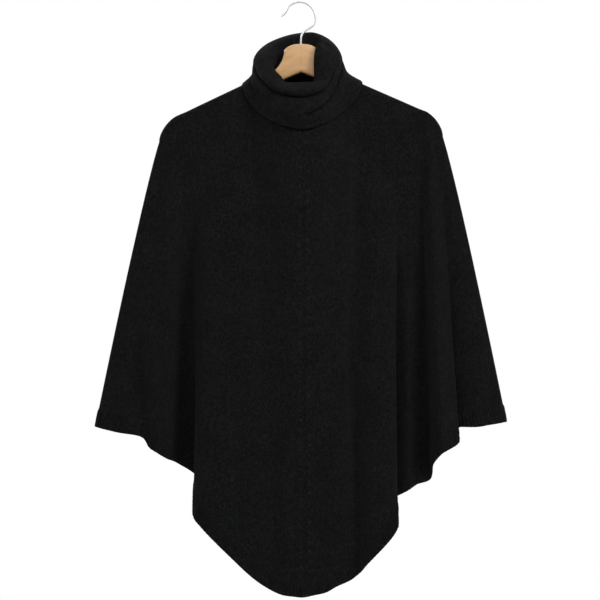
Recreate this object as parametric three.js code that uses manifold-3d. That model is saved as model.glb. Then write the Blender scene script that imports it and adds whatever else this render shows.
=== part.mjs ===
// A knitted poncho with a slumped roll collar, hanging on a flat wooden hanger.
// Millimetres. +Z is up, the front faces -Y, and the origin is the top of the hook's inside.
import * as THREE from "three";
import { mergeVertices } from "three/addons/utils/BufferGeometryUtils.js";
import Module from "manifold-3d";

// Cloth
const WALL = 2.4; // thickness of the knit
const SEAM_GAP = 0.3; // space left between pieces that are joined
const HEM_GAP = 0.6; // the same at the ribbed hem, whose edge twists through the folds
const HEM_WIDTH = 26; // width of the ribbed hem, square to its edge
const HEM_STEEPEST = 1.5; // slope of the edge up to which the ribbed hem keeps its width
const RIB_PITCH = 6; // from one hem rib to the next
const RIB_RISE = 0.9; // how far a rib stands out of its furrow

// Shoulders, as the outside of the cloth lies over the arms of the hanger
const SHOULDER_TOP = -86; // height that both shoulder lines would meet at
const SHOULDER_SLOPE = 0.456; // fall for each millimetre outwards
const HANGER_TILT = THREE.MathUtils.degToRad(1.1); // the right arm hangs a little high
const TIP_START = 192; // where the shoulder starts to round down
const TIP_END = 223; // half the width of the cloth at the arm's end
const TIP_FALL = 38; // height of that round
const TIP_ROUND = 1.5; // its fullness: 2 for a quarter of an ellipse
const TIP_BLUNT = 2.6; // how blunt the arm's end is, seen from above: 2 for a round one

// Fall of the cloth, from the shoulder to the hem
const SPREAD = 0.9; // under 1 where it spreads sideways sooner than it falls
const SWELL = 1.6; // over 1 where it stands out from the hanger's plane sooner than it falls

// Neck seam
const NECK_HALF_WIDTH = 78;
const NECK_FRONT_DEPTH = 49;
const NECK_BACK_DEPTH = 42;
const NECK_FRONT_FALL = 55; // the front of the seam lies this far below its sides
const NECK_BACK_RISE = 8;
const NECK_POINT = 0.5; // share of the depth kept near the sides, under 1 for a pointed oval
const NECK_BLEND = 0.2; // share of the fall over which the seam's curve fades out
const NECK_STEP = 10; // degrees from one mesh column to the next
const ARM_SEAM_RISE = 1; // the collar stands this much higher over the hanger's arms
const ARM_SEAM_POWER = 8; // how sharply that rise begins round the neck

// Hanger
const WOOD_THICKNESS = 13;
const WOOD_EDGE = 4; // rounding of its edges
const WOOD_EDGE_STEPS = 3;
const REST_GAP = 0.4; // between the wood and the cloth on it
const STEM_OFFSET = 2; // the stem stands this far right of the hook's top
const WIRE_RADIUS = 1.6;
const HOOK_RADIUS = 24.5; // of the wire's middle
const HOOK_ROUND = { from: 135, to: -30, step: 16.5 }; // degrees of its round part, and from point to point
const HOOK_TIP = [
  { x: -29.7, height: -20.2 },
  { x: -25.9, height: -16.7 },
  { x: -22.9, height: -12.5 },
]; // flicked outwards, from its end to the round part
const HOOK_NECK = [
  { x: 11, height: -41.2 },
  { x: 5.2, height: -45.5 },
  { x: 1.4, height: -51 },
  { x: 0, height: -58 },
]; // the double bend down to the stem
const SOCKET_DEPTH = 14; // how deep the wire goes into the wood
const SOCKET_GAP = 0.3;
const SOCKET_SIDES = 12;

// Mesh steps
const CROWN_ANGLES = [0, 18, 42, 66]; // degrees round the arm's edge
const FALL_STEPS = 11;
const COLLAR_ROWS_PER_RING = 2;
const OUTLINE_STEPS = 6; // along each curve of the wood's outline
const WIRE_STEPS = 46;
const WIRE_CURVE_STEPS = 4; // THREE counts them twice round a full circle
const WELD = 1e-4; // points nearer than this are one

const KNIT = { color: 0x17181a, roughness: 0.95, metalness: 0 };
const WOOD = { color: 0xd9ab72, roughness: 0.5, metalness: 0 };
const STEEL = { color: 0xc9cbcf, roughness: 0.25, metalness: 1 };

const ARM_OUT = WOOD_THICKNESS / 2 + REST_GAP + WALL / 2; // middle of the cloth from the arm's middle
const CROWN_ROUND = WOOD_EDGE + REST_GAP + WALL / 2; // its bend over the arm's edge

// The lines that run down a panel, from its left side edge to its right one as the front is seen.
// top: across at the shoulder, or neck: degrees round the neck seam from its front or back centre.
// hem, depth, height: where the line ends. lap: how far the cloth folds back under itself there.
// from: how far down the line its fold begins, 0 to 1. steps: mesh columns up to the next line, and 0 round
// the neck, where NECK_STEP sets them.
const FRONT_LINES = [
  { name: "left side edge", top: -223, hem: -324, lap: 0, depth: 0, height: -665, from: 0, steps: 1 },
  { name: "left edge round", top: -221.3, hem: -322, lap: 0, depth: 5, height: -666, from: 0, steps: 2 },
  { name: "left wing", top: -216, hem: -290, lap: 0, depth: 15, height: -674.5, from: 0, steps: 2 },
  { name: "left wing rise", top: -210, hem: -259, lap: 0, depth: 19, height: -681, from: 0, steps: 1 },
  { name: "left wing ridge", top: -204, hem: -236, lap: 0, depth: 34, height: -699, from: 0.1, steps: 1 },
  { name: "left wing fall", top: -198, hem: -213, lap: 0, depth: 23, height: -718, from: 0.1, steps: 2 },
  { name: "left valley", top: -191, hem: -190, lap: 0, depth: 5, height: -729, from: 0.12, steps: 3 },
  { name: "left turn", top: -184, hem: -180, lap: 19, depth: 10, height: -754, from: 0.12, steps: 3 },
  { name: "left panel edge", top: -177, hem: -168.5, lap: 0, depth: 31, height: -794, from: 0.12, steps: 3 },
  { name: "left panel face", top: -163, hem: -154, lap: 0, depth: 51, height: -829, from: 0.05, steps: 2 },
  { name: "left panel", top: -128, hem: -114, lap: 0, depth: 56, height: -868, from: 0, steps: 2 },
  { name: "left of centre", top: -95, hem: -72, lap: 0, depth: 50, height: -905, from: 0, steps: 1 },
  { name: "left neck point", neck: -90, hem: -48, lap: 0, depth: 47, height: -921, from: 0, steps: 0 },
  { name: "left neck", neck: -52, hem: -29, lap: 0, depth: 47, height: -929, from: 0, steps: 0 },
  { name: "left front neck", neck: -24, hem: -12, lap: 0, depth: 48, height: -931.5, from: 0, steps: 0 },
  { name: "centre front", neck: 0, hem: 3, lap: 0, depth: 50, height: -932.7, from: 0, steps: 0 },
  { name: "right front neck", neck: 24, hem: 20, lap: 0, depth: 52, height: -929.5, from: 0, steps: 0 },
  { name: "right neck", neck: 52, hem: 39, lap: 0, depth: 54, height: -925, from: 0, steps: 0 },
  { name: "right neck point", neck: 90, hem: 60, lap: 0, depth: 51, height: -914, from: 0, steps: 0 },
  { name: "right valley", top: 95, hem: 84, lap: 0, depth: 43, height: -903, from: 0.2, steps: 2 },
  { name: "right panel face", top: 130, hem: 120, lap: 0, depth: 60, height: -861, from: 0.1, steps: 2 },
  { name: "right panel edge", top: 151, hem: 147.7, lap: 0, depth: 41, height: -822, from: 0.2, steps: 3 },
  { name: "right turn", top: 161, hem: 152, lap: -16, depth: 6, height: -788, from: 0.2, steps: 2 },
  { name: "right deep valley", top: 171, hem: 172, lap: 0, depth: 1, height: -768, from: 0.2, steps: 2 },
  { name: "right small ridge", top: 181, hem: 199, lap: 0, depth: 15, height: -749, from: 0.15, steps: 1 },
  { name: "right small valley", top: 190, hem: 209, lap: 0, depth: 3, height: -724, from: 0.1, steps: 2 },
  { name: "right wing ridge", top: 199, hem: 231, lap: 0, depth: 33, height: -700, from: 0.1, steps: 2 },
  { name: "right ridge edge", top: 206, hem: 248, lap: 0, depth: 27, height: -689, from: 0.1, steps: 3 },
  { name: "right wing turn", top: 212, hem: 250, lap: -11, depth: 3, height: -665, from: 0.1, steps: 2 },
  { name: "right wing", top: 217, hem: 281, lap: 0, depth: 14, height: -663, from: 0, steps: 2 },
  { name: "right edge round", top: 221.3, hem: 321.5, lap: 0, depth: 5, height: -656.5, from: 0, steps: 1 },
  { name: "right side edge", top: 223, hem: 323.5, lap: 0, depth: 0, height: -655.5, from: 0, steps: 1 },
];
const BACK_LINES = [
  { name: "left side edge", top: -223, hem: -324, lap: 0, depth: 0, height: -665, from: 0, steps: 1 },
  { name: "left edge round", top: -221.3, hem: -322, lap: 0, depth: 5, height: -665.5, from: 0, steps: 2 },
  { name: "left wing", top: -216, hem: -286, lap: 0, depth: 18, height: -667, from: 0, steps: 2 },
  { name: "left wing ridge", top: -207, hem: -250, lap: 0, depth: 38, height: -677, from: 0.05, steps: 2 },
  { name: "left small valley", top: -198, hem: -222, lap: 0, depth: 21, height: -690, from: 0.15, steps: 2 },
  { name: "left ridge", top: -186, hem: -192, lap: 0, depth: 48, height: -714, from: 0.1, steps: 1 },
  { name: "left ridge edge", top: -176, hem: -170, lap: 0, depth: 40, height: -727, from: 0.1, steps: 2 },
  { name: "left turn", top: -166, hem: -160, lap: -11, depth: 20, height: -740, from: 0.15, steps: 2 },
  { name: "left valley", top: -152, hem: -143, lap: 0, depth: 19, height: -755, from: 0.15, steps: 2 },
  { name: "left panel", top: -124, hem: -110, lap: 0, depth: 44, height: -800, from: 0.1, steps: 2 },
  { name: "left of centre", top: -97, hem: -72, lap: 0, depth: 52, height: -862, from: 0, steps: 1 },
  { name: "left neck point", neck: -90, hem: -46, lap: 0, depth: 49, height: -893, from: 0, steps: 0 },
  { name: "left neck", neck: -52, hem: -27, lap: 0, depth: 46, height: -914, from: 0, steps: 0 },
  { name: "left back neck", neck: -24, hem: -10, lap: 0, depth: 44, height: -924, from: 0, steps: 0 },
  { name: "centre back", neck: 0, hem: 3, lap: 0, depth: 44, height: -927, from: 0, steps: 0 },
  { name: "right back neck", neck: 24, hem: 18, lap: 0, depth: 46, height: -922, from: 0, steps: 0 },
  { name: "right neck", neck: 52, hem: 36, lap: 0, depth: 50, height: -910, from: 0, steps: 0 },
  { name: "right neck point", neck: 90, hem: 56, lap: 0, depth: 55, height: -892, from: 0, steps: 0 },
  { name: "right of centre", top: 97, hem: 84, lap: 0, depth: 58, height: -860, from: 0, steps: 2 },
  { name: "right soft valley", top: 126, hem: 114, lap: 0, depth: 39, height: -818, from: 0.2, steps: 2 },
  { name: "right panel face", top: 150, hem: 143, lap: 0, depth: 56, height: -778, from: 0.1, steps: 2 },
  { name: "right panel edge", top: 162, hem: 165, lap: 0, depth: 43, height: -745, from: 0.15, steps: 2 },
  { name: "right turn", top: 172, hem: 176, lap: -14, depth: 19, height: -722, from: 0.15, steps: 2 },
  { name: "right valley", top: 184, hem: 194, lap: 0, depth: 18, height: -708, from: 0.15, steps: 2 },
  { name: "right wing ridge", top: 197, hem: 224, lap: 0, depth: 41, height: -688, from: 0.1, steps: 2 },
  { name: "right small valley", top: 207, hem: 252, lap: 0, depth: 23, height: -662, from: 0.1, steps: 2 },
  { name: "right wing", top: 216, hem: 288, lap: 0, depth: 17, height: -657, from: 0, steps: 2 },
  { name: "right edge round", top: 221.3, hem: 321.5, lap: 0, depth: 5, height: -656, from: 0, steps: 1 },
  { name: "right side edge", top: 223, hem: 323.5, lap: 0, depth: 0, height: -655.5, from: 0, steps: 1 },
];

// The roll collar: sections round the neck, angle in degrees from the front centre towards the right.
// Each pair is the distance from the stem and the height of one ring of the cloth: in: the standing layer,
// rim: its innermost part, roll: its top, ridge: where it turns down, crease: the slump below that,
// belly: the fullest part of the turned-down layer, edge: its free end.
const COLLAR_RINGS = ["in", "rim", "roll", "ridge", "crease", "belly", "edge"];
const COLLAR_SECTIONS = [
  [0, [36, -158], [19, -136], [25, -125], [64, -145], [61, -155], [71, -176], [67, -197]],
  [45, [40, -146], [29, -122], [35, -113], [55, -130], [54, -141], [66, -160], [72, -180]],
  [68, [45, -120], [29, -92], [33, -80], [58, -108], [60, -119], [72, -136], [85, -157]],
  [81, [48, -107], [31, -80], [35, -67], [61, -93], [64, -104], [74, -118], [98, -136]],
  [92, [50, -101], [32, -74], [38, -60], [62, -82], [66, -94], [74, -106], [97, -120]],
  [120, [44, -97], [29, -65], [35, -51], [57, -60], [63, -74], [70, -92], [80, -117]],
  [150, [33, -92], [23, -58], [31, -45], [47, -47], [53, -60], [60, -82], [65, -113]],
  [180, [27, -90], [18, -60], [25, -48], [41, -45], [48, -57], [56, -80], [60, -111]],
  [210, [36, -94], [27, -63], [34, -52], [51, -49], [57, -61], [64, -83], [67, -113]],
  [240, [47, -101], [38, -75], [46, -63], [66, -62], [72, -75], [77, -94], [80, -118]],
  [268, [58, -106], [46, -93], [52, -81], [75, -84], [77, -97], [79, -109], [93, -120]],
  [280, [56, -114], [44, -104], [50, -94], [70, -102], [72, -113], [79, -124], [94, -137]],
  [293, [49, -130], [41, -113], [48, -104], [67, -117], [67, -127], [73, -141], [84, -160]],
  [316, [41, -147], [31, -127], [38, -118], [60, -134], [58, -145], [67, -163], [72, -181]],
].map(([angle, ...pairs]) => ({ angle, ...Object.fromEntries(COLLAR_RINGS.map((ring, i) => [ring, pairs[i]])) }));

// The wooden hanger's outline, right half, from the middle of its crown round to the middle of its underside.
const CROWN_HEIGHT = -65;
const NECK_WOOD = { halfWidth: 26, shoulder: -74, flat: 0.75 }; // flat: share of its half width that stays level
const FLARE = { end: 70, narrow: 28, narrowHeight: -92, wide: 36, wideHeight: -108 }; // from the neck to the arm
const ARM_TIP = { x: 202, below: 4, length: 16 }; // its end: how far below the arm's top line, and how long
const ARM_UNDERSIDE = [
  { x: 194, height: -203 },
  { x: 140, height: -178 },
  { x: 70, height: -143 },
  { x: 24, height: -119.5 },
];
const NOTCH_HEIGHT = -110; // of the upturned V under the neck

const { degToRad, lerp, clamp } = THREE.MathUtils;

// Height of the outside of the cloth along the shoulder.
function shoulderHeight(x) {
  const across = Math.abs(x);
  const tilt = x * Math.tan(HANGER_TILT);
  const start = SHOULDER_TOP - SHOULDER_SLOPE * Math.min(across, TIP_START);
  if (across <= TIP_START) return start + tilt;
  const share = clamp((across - TIP_START) / (TIP_END - TIP_START), 0, 1);
  return start - TIP_FALL * (1 - Math.pow(1 - share ** TIP_ROUND, 1 / TIP_ROUND)) + tilt;
}

// How far the cloth's middle stands out over the arm, which has a blunt end.
function crownOut(x) {
  const share = clamp((Math.abs(x) - TIP_START) / (TIP_END - TIP_START), 0, 1);
  return ARM_OUT * Math.pow(1 - share ** TIP_BLUNT, 1 / TIP_BLUNT);
}

// A point of the neck seam. side is -1 at the front and 1 at the back.
function neckPoint(angle, side) {
  const along = Math.max(0, Math.cos(angle));
  const depth = side < 0 ? NECK_FRONT_DEPTH : NECK_BACK_DEPTH;
  const rise = side < 0 ? -NECK_FRONT_FALL : NECK_BACK_RISE;
  const x = NECK_HALF_WIDTH * Math.sin(angle);
  return new THREE.Vector3(
    x,
    side * depth * along * (NECK_POINT + (1 - NECK_POINT) * along * along),
    SHOULDER_TOP - SHOULDER_SLOPE * NECK_HALF_WIDTH - WALL / 2 + rise * along ** 3 + x * Math.tan(HANGER_TILT),
  );
}

// The level direction that faces outwards there.
function neckNormal(angle, side) {
  const step = 0.02;
  const along = neckPoint(angle + step, side).sub(neckPoint(angle - step, side));
  const normal = new THREE.Vector3(-side * along.y, side * along.x, 0).normalize();
  return Math.cos(angle) < step ? new THREE.Vector3(Math.sign(Math.sin(angle)), 0, 0) : normal;
}

// The bend of the cloth over the arm, from a point on its top. out is what is left to go outwards.
function crownPoint(top, out, side, angle) {
  const reach = (ARM_OUT - CROWN_ROUND * (1 - Math.sin(angle))) / ARM_OUT;
  const bend = lerp(angle / (Math.PI / 2), 1 - Math.cos(angle), out / ARM_OUT) * Math.hypot(1, SHOULDER_SLOPE);
  return new THREE.Vector3(top.x, top.y + side * out * (angle > 0 ? reach : 0), top.z - CROWN_ROUND * bend);
}

// One line down a panel: its top, how far it goes outwards there, and the fall to the hem.
function lineOf(row, side) {
  const onNeck = row.neck !== undefined;
  const top = onNeck
    ? neckPoint(degToRad(row.neck), side)
    : new THREE.Vector3(row.top, 0, shoulderHeight(row.top) - WALL / 2);
  const out = onNeck ? neckOut(top) : crownOut(row.top);
  const start = crownPoint(top, out, side, Math.PI / 2);
  const fall = (t) => {
    const fold = clamp((t - row.from) / (1 - row.from), 0, 1);
    return new THREE.Vector3(
      lerp(start.x, row.hem, t ** SPREAD) + row.lap * fold * fold,
      lerp(start.y, side * row.depth, 1 - (1 - fold) ** SWELL),
      lerp(start.z, row.height, t),
    );
  };
  return { fall, crown: (angle) => crownPoint(top, out, side, angle), length: Math.abs(row.height - start.z) };
}

// What a point of the neck seam still has to go outwards to clear the arm.
function neckOut(point) {
  return Math.max(0, ARM_OUT - Math.abs(point.y));
}

// A panel: its lines joined into one smooth sheet, front or back.
class Panel {
  constructor(rows, side) {
    this.side = side;
    this.rows = side < 0 ? rows : [...rows].reverse();
    this.lines = this.rows.map((row) => lineOf(row, side));
    this.last = this.lines.length - 1;
    this.hem = this.sectionCurve((line) => line.fall(1));
  }

  sectionCurve(pointOf) {
    return new THREE.CatmullRomCurve3(this.lines.map(pointOf), false, "centripetal");
  }

  // Places across the panel for the mesh's columns: a share of its lines, and an angle round the neck.
  columns() {
    const columns = [];
    for (let i = 0; i < this.last; i++) {
      const [row, next] = [this.rows[i], this.rows[i + 1]];
      const round = row.neck !== undefined && next.neck !== undefined;
      const steps = round
        ? Math.round(Math.abs(next.neck - row.neck) / NECK_STEP)
        : Math.max(1, this.side < 0 ? row.steps : next.steps);
      const angleAt = (k) => (round ? lerp(row.neck, next.neck, k / steps) : undefined);
      for (let k = 0; k < steps; k++)
        columns.push({ share: (i + k / steps) / this.last, angle: k === 0 ? row.neck : angleAt(k) });
    }
    return [...columns, { share: 1 }];
  }

  // How far up its line the ribbed hem starts, as a share of the fall: wider where the edge runs downhill.
  hemShare(share) {
    const step = 0.01;
    const a = this.hem.getPoint(clamp(share - step, 0, 1));
    const b = this.hem.getPoint(clamp(share + step, 0, 1));
    const across = Math.hypot(b.x - a.x, b.y - a.y);
    const slope = Math.min(HEM_STEEPEST, Math.abs(b.z - a.z) / across);
    const at = share * this.last;
    const i = Math.min(Math.floor(at), this.last - 1);
    const length = lerp(this.lines[i].length, this.lines[i + 1].length, at - i);
    return (HEM_WIDTH * Math.sqrt(1 + slope * slope)) / length;
  }

  // A point of the sheet's middle, at a share across it and a share down the fall.
  fallPoint(share, t) {
    return this.sectionCurve((line) => line.fall(t)).getPoint(share);
  }

  // Rows of points from the shoulder and neck to the seam of the ribbed hem, and one more at its edge.
  grid() {
    const columns = this.columns();
    const seams = columns.map(({ share }) => 1 - this.hemShare(share));
    const rows = CROWN_ANGLES.map((degrees) => {
      const curve = this.sectionCurve((line) => line.crown(degToRad(degrees)));
      return columns.map(({ share, angle }) => {
        if (angle === undefined) return curve.getPoint(share);
        const top = neckPoint(degToRad(angle), this.side);
        return crownPoint(top, neckOut(top), this.side, degToRad(degrees));
      });
    });
    const shifts = columns.map((column) => this.neckShift(column));
    for (let i = 0; i <= FALL_STEPS; i++)
      rows.push(
        columns.map(({ share }, k) => {
          const t = (seams[k] * i) / FALL_STEPS;
          return this.fallPoint(share, t).addScaledVector(shifts[k], Math.max(0, 1 - t / NECK_BLEND) ** 2);
        }),
      );
    rows.push(columns.map(({ share }) => this.fallPoint(share, 1)));
    return rows;
  }

  // From where the smooth sheet starts to fall to where the neck seam's own curve has it.
  neckShift({ share, angle }) {
    if (angle === undefined) return new THREE.Vector3();
    const top = neckPoint(degToRad(angle), this.side);
    return crownPoint(top, neckOut(top), this.side, Math.PI / 2).sub(this.fallPoint(share, 0));
  }
}

// Normals of a grid of points. They point to the side from which the columns run left to right.
function gridNormals(grid, closed) {
  const rows = grid.length;
  const columns = grid[0].length;
  const at = (i, j) => grid[clamp(i, 0, rows - 1)][closed ? (j + columns) % columns : clamp(j, 0, columns - 1)];
  return grid.map((row, i) =>
    row.map((_, j) => {
      const down = at(i + 1, j).clone().sub(at(i - 1, j));
      const across = at(i, j + 1).clone().sub(at(i, j - 1));
      return down.cross(across).normalize();
    }),
  );
}

// Moves a point off the plane between front and back, to its own side.
function offPlane(point, side) {
  return side ? point.setY(side * Math.max(side * point.y, SEAM_GAP / 2)) : point;
}

// Turns the normals along the shoulder and side edges into the plane that parts front and back.
function squareEdges(panel, grid, normals) {
  panel.columns().forEach(({ angle }, j) => {
    const { x } = grid[0][j];
    if (angle !== undefined) normals[0][j].copy(neckNormal(degToRad(angle), panel.side));
    else {
      const share = clamp((Math.abs(x) - TIP_START) / (TIP_END - TIP_START), 0, 1);
      const up = new THREE.Vector3(Math.sign(x) * SHOULDER_SLOPE, 0, 1).normalize();
      normals[0][j].copy(up.lerp(new THREE.Vector3(Math.sign(x), 0, 0), share)).normalize();
    }
  });
  for (const row of normals) for (const j of [0, row.length - 1]) row[j].setY(0).normalize();
  return normals;
}

// A closed wall with its middle on a grid of points. side keeps a panel on its own side of the seam.
function wallGeometry(grid, normals, closed, side = 0) {
  const rows = grid.length;
  const columns = grid[0].length;
  const positions = [];
  for (const half of [WALL / 2, -WALL / 2])
    for (let i = 0; i < rows; i++)
      for (let j = 0; j < columns; j++)
        positions.push(...offPlane(grid[i][j].clone().addScaledVector(normals[i][j], half), side).toArray());
  const outer = (i, j) => i * columns + (j % columns);
  const inner = (i, j) => rows * columns + outer(i, j);
  const index = [];
  const quad = (a, b, c, d) => index.push(a, b, c, a, c, d);
  const spans = closed ? columns : columns - 1;
  for (let j = 0; j < spans; j++) {
    for (let i = 0; i < rows - 1; i++) {
      quad(outer(i, j), outer(i + 1, j), outer(i + 1, j + 1), outer(i, j + 1));
      quad(inner(i, j), inner(i, j + 1), inner(i + 1, j + 1), inner(i + 1, j));
    }
    if (closed) quad(outer(0, j + 1), inner(0, j + 1), inner(0, j), outer(0, j));
    else quad(outer(0, j), outer(0, j + 1), inner(0, j + 1), inner(0, j));
    quad(outer(rows - 1, j + 1), outer(rows - 1, j), inner(rows - 1, j), inner(rows - 1, j + 1));
  }
  if (!closed)
    for (let i = 0; i < rows - 1; i++) {
      quad(outer(i + 1, 0), outer(i, 0), inner(i, 0), inner(i + 1, 0));
      quad(outer(i, columns - 1), outer(i + 1, columns - 1), inner(i + 1, columns - 1), inner(i, columns - 1));
    }
  return indexedGeometry(positions, index);
}

function indexedGeometry(positions, index) {
  const geometry = new THREE.BufferGeometry();
  geometry.setAttribute("position", new THREE.Float32BufferAttribute(positions, 3));
  geometry.setIndex(index);
  geometry.computeVertexNormals();
  return geometry;
}

// The two pieces of a panel: its plain body, and its ribbed hem a seam's gap below.
function panelGeometries(panel) {
  const grid = panel.grid();
  const normals = squareEdges(panel, grid, gridNormals(grid, false));
  const body = wallGeometry(grid.slice(0, -1), normals.slice(0, -1), false, panel.side);
  const [seam, edge] = grid.slice(-2);
  const start = seam.map((point, j) => point.clone().lerp(edge[j], HEM_GAP / HEM_WIDTH));
  return { body, hem: hemGeometry([start, edge], normals.slice(-2), panel.side) };
}

// The ribbed hem of a panel: ridges and furrows outside, a plain face inside. A furrow meets each mesh column.
function hemGeometry(grid, normals, side) {
  const last = grid[0].length - 1;
  const places = [];
  for (let j = 0; j < last; j++) {
    const ribs = Math.max(1, Math.round(grid[1][j].distanceTo(grid[1][j + 1]) / RIB_PITCH));
    for (let k = 0; k < 2 * ribs; k++) places.push({ j, next: j + 1, part: k / (2 * ribs) });
  }
  places.push({ j: last, next: last, part: 0 });
  const count = places.length - 1;
  const positions = [];
  const addPoint = (i, { j, next, part }, out) => {
    const normal = normals[i][j].clone().lerp(normals[i][next], part);
    const point = grid[i][j].clone().lerp(grid[i][next], part);
    positions.push(...offPlane(point.addScaledVector(normal, out), side).toArray());
  };
  for (const i of [0, 1]) places.forEach((place, k) => addPoint(i, place, WALL / 2 + (k % 2 ? RIB_RISE : 0)));
  for (const i of [0, 1]) for (let k = 0; k <= count; k += 2) addPoint(i, places[k], -WALL / 2);
  const outer = (i, k) => i * (count + 1) + k;
  const inner = (i, k) => 2 * (count + 1) + i * (count / 2 + 1) + k / 2;
  const index = [];
  const triangle = (a, b, c) => index.push(a, b, c);
  const quad = (a, b, c, d) => index.push(a, b, c, a, c, d);
  for (let k = 0; k < count; k += 2) {
    quad(outer(0, k), outer(1, k), outer(1, k + 1), outer(0, k + 1));
    quad(outer(0, k + 1), outer(1, k + 1), outer(1, k + 2), outer(0, k + 2));
    quad(inner(0, k), inner(0, k + 2), inner(1, k + 2), inner(1, k));
    triangle(outer(0, k), outer(0, k + 1), inner(0, k));
    triangle(outer(0, k + 1), outer(0, k + 2), inner(0, k));
    triangle(outer(0, k + 2), inner(0, k + 2), inner(0, k));
    triangle(outer(1, k + 1), outer(1, k), inner(1, k));
    triangle(outer(1, k + 2), outer(1, k + 1), inner(1, k));
    triangle(inner(1, k + 2), outer(1, k + 2), inner(1, k));
  }
  quad(outer(1, 0), outer(0, 0), inner(0, 0), inner(1, 0));
  quad(outer(0, count), outer(1, count), inner(1, count), inner(0, count));
  return indexedGeometry(positions, index);
}

// Degrees round the neck of both panels' mesh columns, from the front centre towards the right.
function neckRound(front, back) {
  const anglesOf = (panel) => panel.columns().map(({ angle }) => angle).filter((angle) => angle !== undefined);
  const round = [...anglesOf(front), ...anglesOf(back).map((angle) => 180 - angle)];
  return [...new Set(round.map((angle) => (angle + 360) % 360))].sort((a, b) => a - b);
}

// The collar's cloth in one round of sections: up from the neck seam, over the rim and down to the free edge.
function collarGeometry(neckAngles) {
  const rings = COLLAR_RINGS.map((ring) => {
    const points = COLLAR_SECTIONS.map((section) => {
      const angle = degToRad(section.angle);
      const [out, height] = section[ring];
      return new THREE.Vector3(out * Math.sin(angle), -out * Math.cos(angle), height);
    });
    return new THREE.CatmullRomCurve3(points, true, "centripetal");
  });
  const sectionAt = (degrees) => {
    const next = COLLAR_SECTIONS.findIndex((section) => section.angle > degrees);
    const i = (next < 0 ? COLLAR_SECTIONS.length : next) - 1;
    const start = COLLAR_SECTIONS[i].angle;
    const end = next < 0 ? 360 : COLLAR_SECTIONS[next].angle;
    return (i + (degrees - start) / (end - start)) / COLLAR_SECTIONS.length;
  };
  const sideOf = (degrees) => (degrees > 90 && degrees < 270 ? 1 : -1);
  const seamAngle = (degrees) => degToRad(sideOf(degrees) < 0 ? degrees : 180 - degrees);
  const columns = neckAngles.map((degrees) => {
    const seam = neckPoint(seamAngle(degrees), sideOf(degrees));
    seam.z += SEAM_GAP + ARM_SEAM_RISE * Math.sin(seamAngle(degrees)) ** ARM_SEAM_POWER;
    const share = sectionAt(degrees);
    const profile = [seam, ...rings.map((ring) => ring.getPoint(share))];
    return new THREE.CatmullRomCurve3(profile, false, "centripetal").getPoints(COLLAR_ROWS_PER_RING * rings.length);
  });
  const grid = columns[0].map((_, i) => columns.map((column) => column[i]));
  const normals = gridNormals(grid, true);
  neckAngles.forEach((degrees, j) => normals[0][j].copy(neckNormal(seamAngle(degrees), sideOf(degrees))).negate());
  return wallGeometry(grid, normals, true);
}

// A closed three.js mesh as a solid for cutting, and back.
function solidOf(wasm, geometry) {
  const bare = geometry.clone();
  bare.deleteAttribute("normal");
  bare.deleteAttribute("uv");
  const merged = mergeVertices(bare, WELD);
  return new wasm.Manifold(
    new wasm.Mesh({
      numProp: 3,
      vertProperties: new Float32Array(merged.attributes.position.array),
      triVerts: new Uint32Array(merged.index.array),
    }),
  );
}

function geometryOf(solid) {
  const mesh = solid.getMesh();
  return indexedGeometry(Array.from(mesh.vertProperties), Array.from(mesh.triVerts));
}

// The arm's upper edge, under the cloth.
function armTop(x) {
  return shoulderHeight(x) - (WALL + REST_GAP) * Math.hypot(1, SHOULDER_SLOPE);
}

// The outline of one half, hand being 1 on the right and -1 on the left, from the crown to the notch.
function halfOutline(hand) {
  const tilted = (x, z) => new THREE.Vector2(hand * x, z + hand * x * Math.tan(HANGER_TILT));
  const tipTop = armTop(hand * ARM_TIP.x) - ARM_TIP.below;
  const half = new THREE.Path().moveTo(0, CROWN_HEIGHT);
  const neck = tilted(NECK_WOOD.halfWidth, NECK_WOOD.shoulder);
  const flareEnd = new THREE.Vector2(hand * FLARE.end, armTop(hand * FLARE.end));
  const [narrow, wide] = [tilted(FLARE.narrow, FLARE.narrowHeight), tilted(FLARE.wide, FLARE.wideHeight)];
  half.quadraticCurveTo(hand * NECK_WOOD.halfWidth * NECK_WOOD.flat, CROWN_HEIGHT, neck.x, neck.y);
  half.bezierCurveTo(narrow.x, narrow.y, wide.x, wide.y, flareEnd.x, flareEnd.y);
  half.lineTo(hand * TIP_START, armTop(hand * TIP_START));
  half.lineTo(hand * ARM_TIP.x, tipTop);
  half.lineTo(hand * ARM_TIP.x, tipTop - ARM_TIP.length);
  for (const { x, height } of ARM_UNDERSIDE) {
    const point = tilted(x, height);
    half.lineTo(point.x, point.y);
  }
  half.lineTo(0, NOTCH_HEIGHT);
  return half.getPoints(OUTLINE_STEPS);
}

// The flat wooden body, with a hole in its crown for the hook.
function woodGeometry(wasm) {
  const outline = [...halfOutline(1), ...halfOutline(-1).reverse().slice(1, -1)];
  const slab = new THREE.ExtrudeGeometry(new THREE.Shape(outline), {
    depth: WOOD_THICKNESS - 2 * WOOD_EDGE,
    bevelEnabled: true,
    bevelThickness: WOOD_EDGE,
    bevelSize: WOOD_EDGE,
    bevelOffset: -WOOD_EDGE,
    bevelSegments: WOOD_EDGE_STEPS,
  });
  slab.translate(0, 0, WOOD_EDGE - WOOD_THICKNESS / 2);
  slab.rotateX(Math.PI / 2);
  const boreRadius = WIRE_RADIUS + SOCKET_GAP;
  const bore = new THREE.CylinderGeometry(boreRadius, boreRadius, 2 * SOCKET_DEPTH, SOCKET_SIDES);
  bore.rotateX(Math.PI / 2);
  bore.translate(0, 0, CROWN_HEIGHT);
  return geometryOf(solidOf(wasm, slab).subtract(solidOf(wasm, bore)));
}

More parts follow.
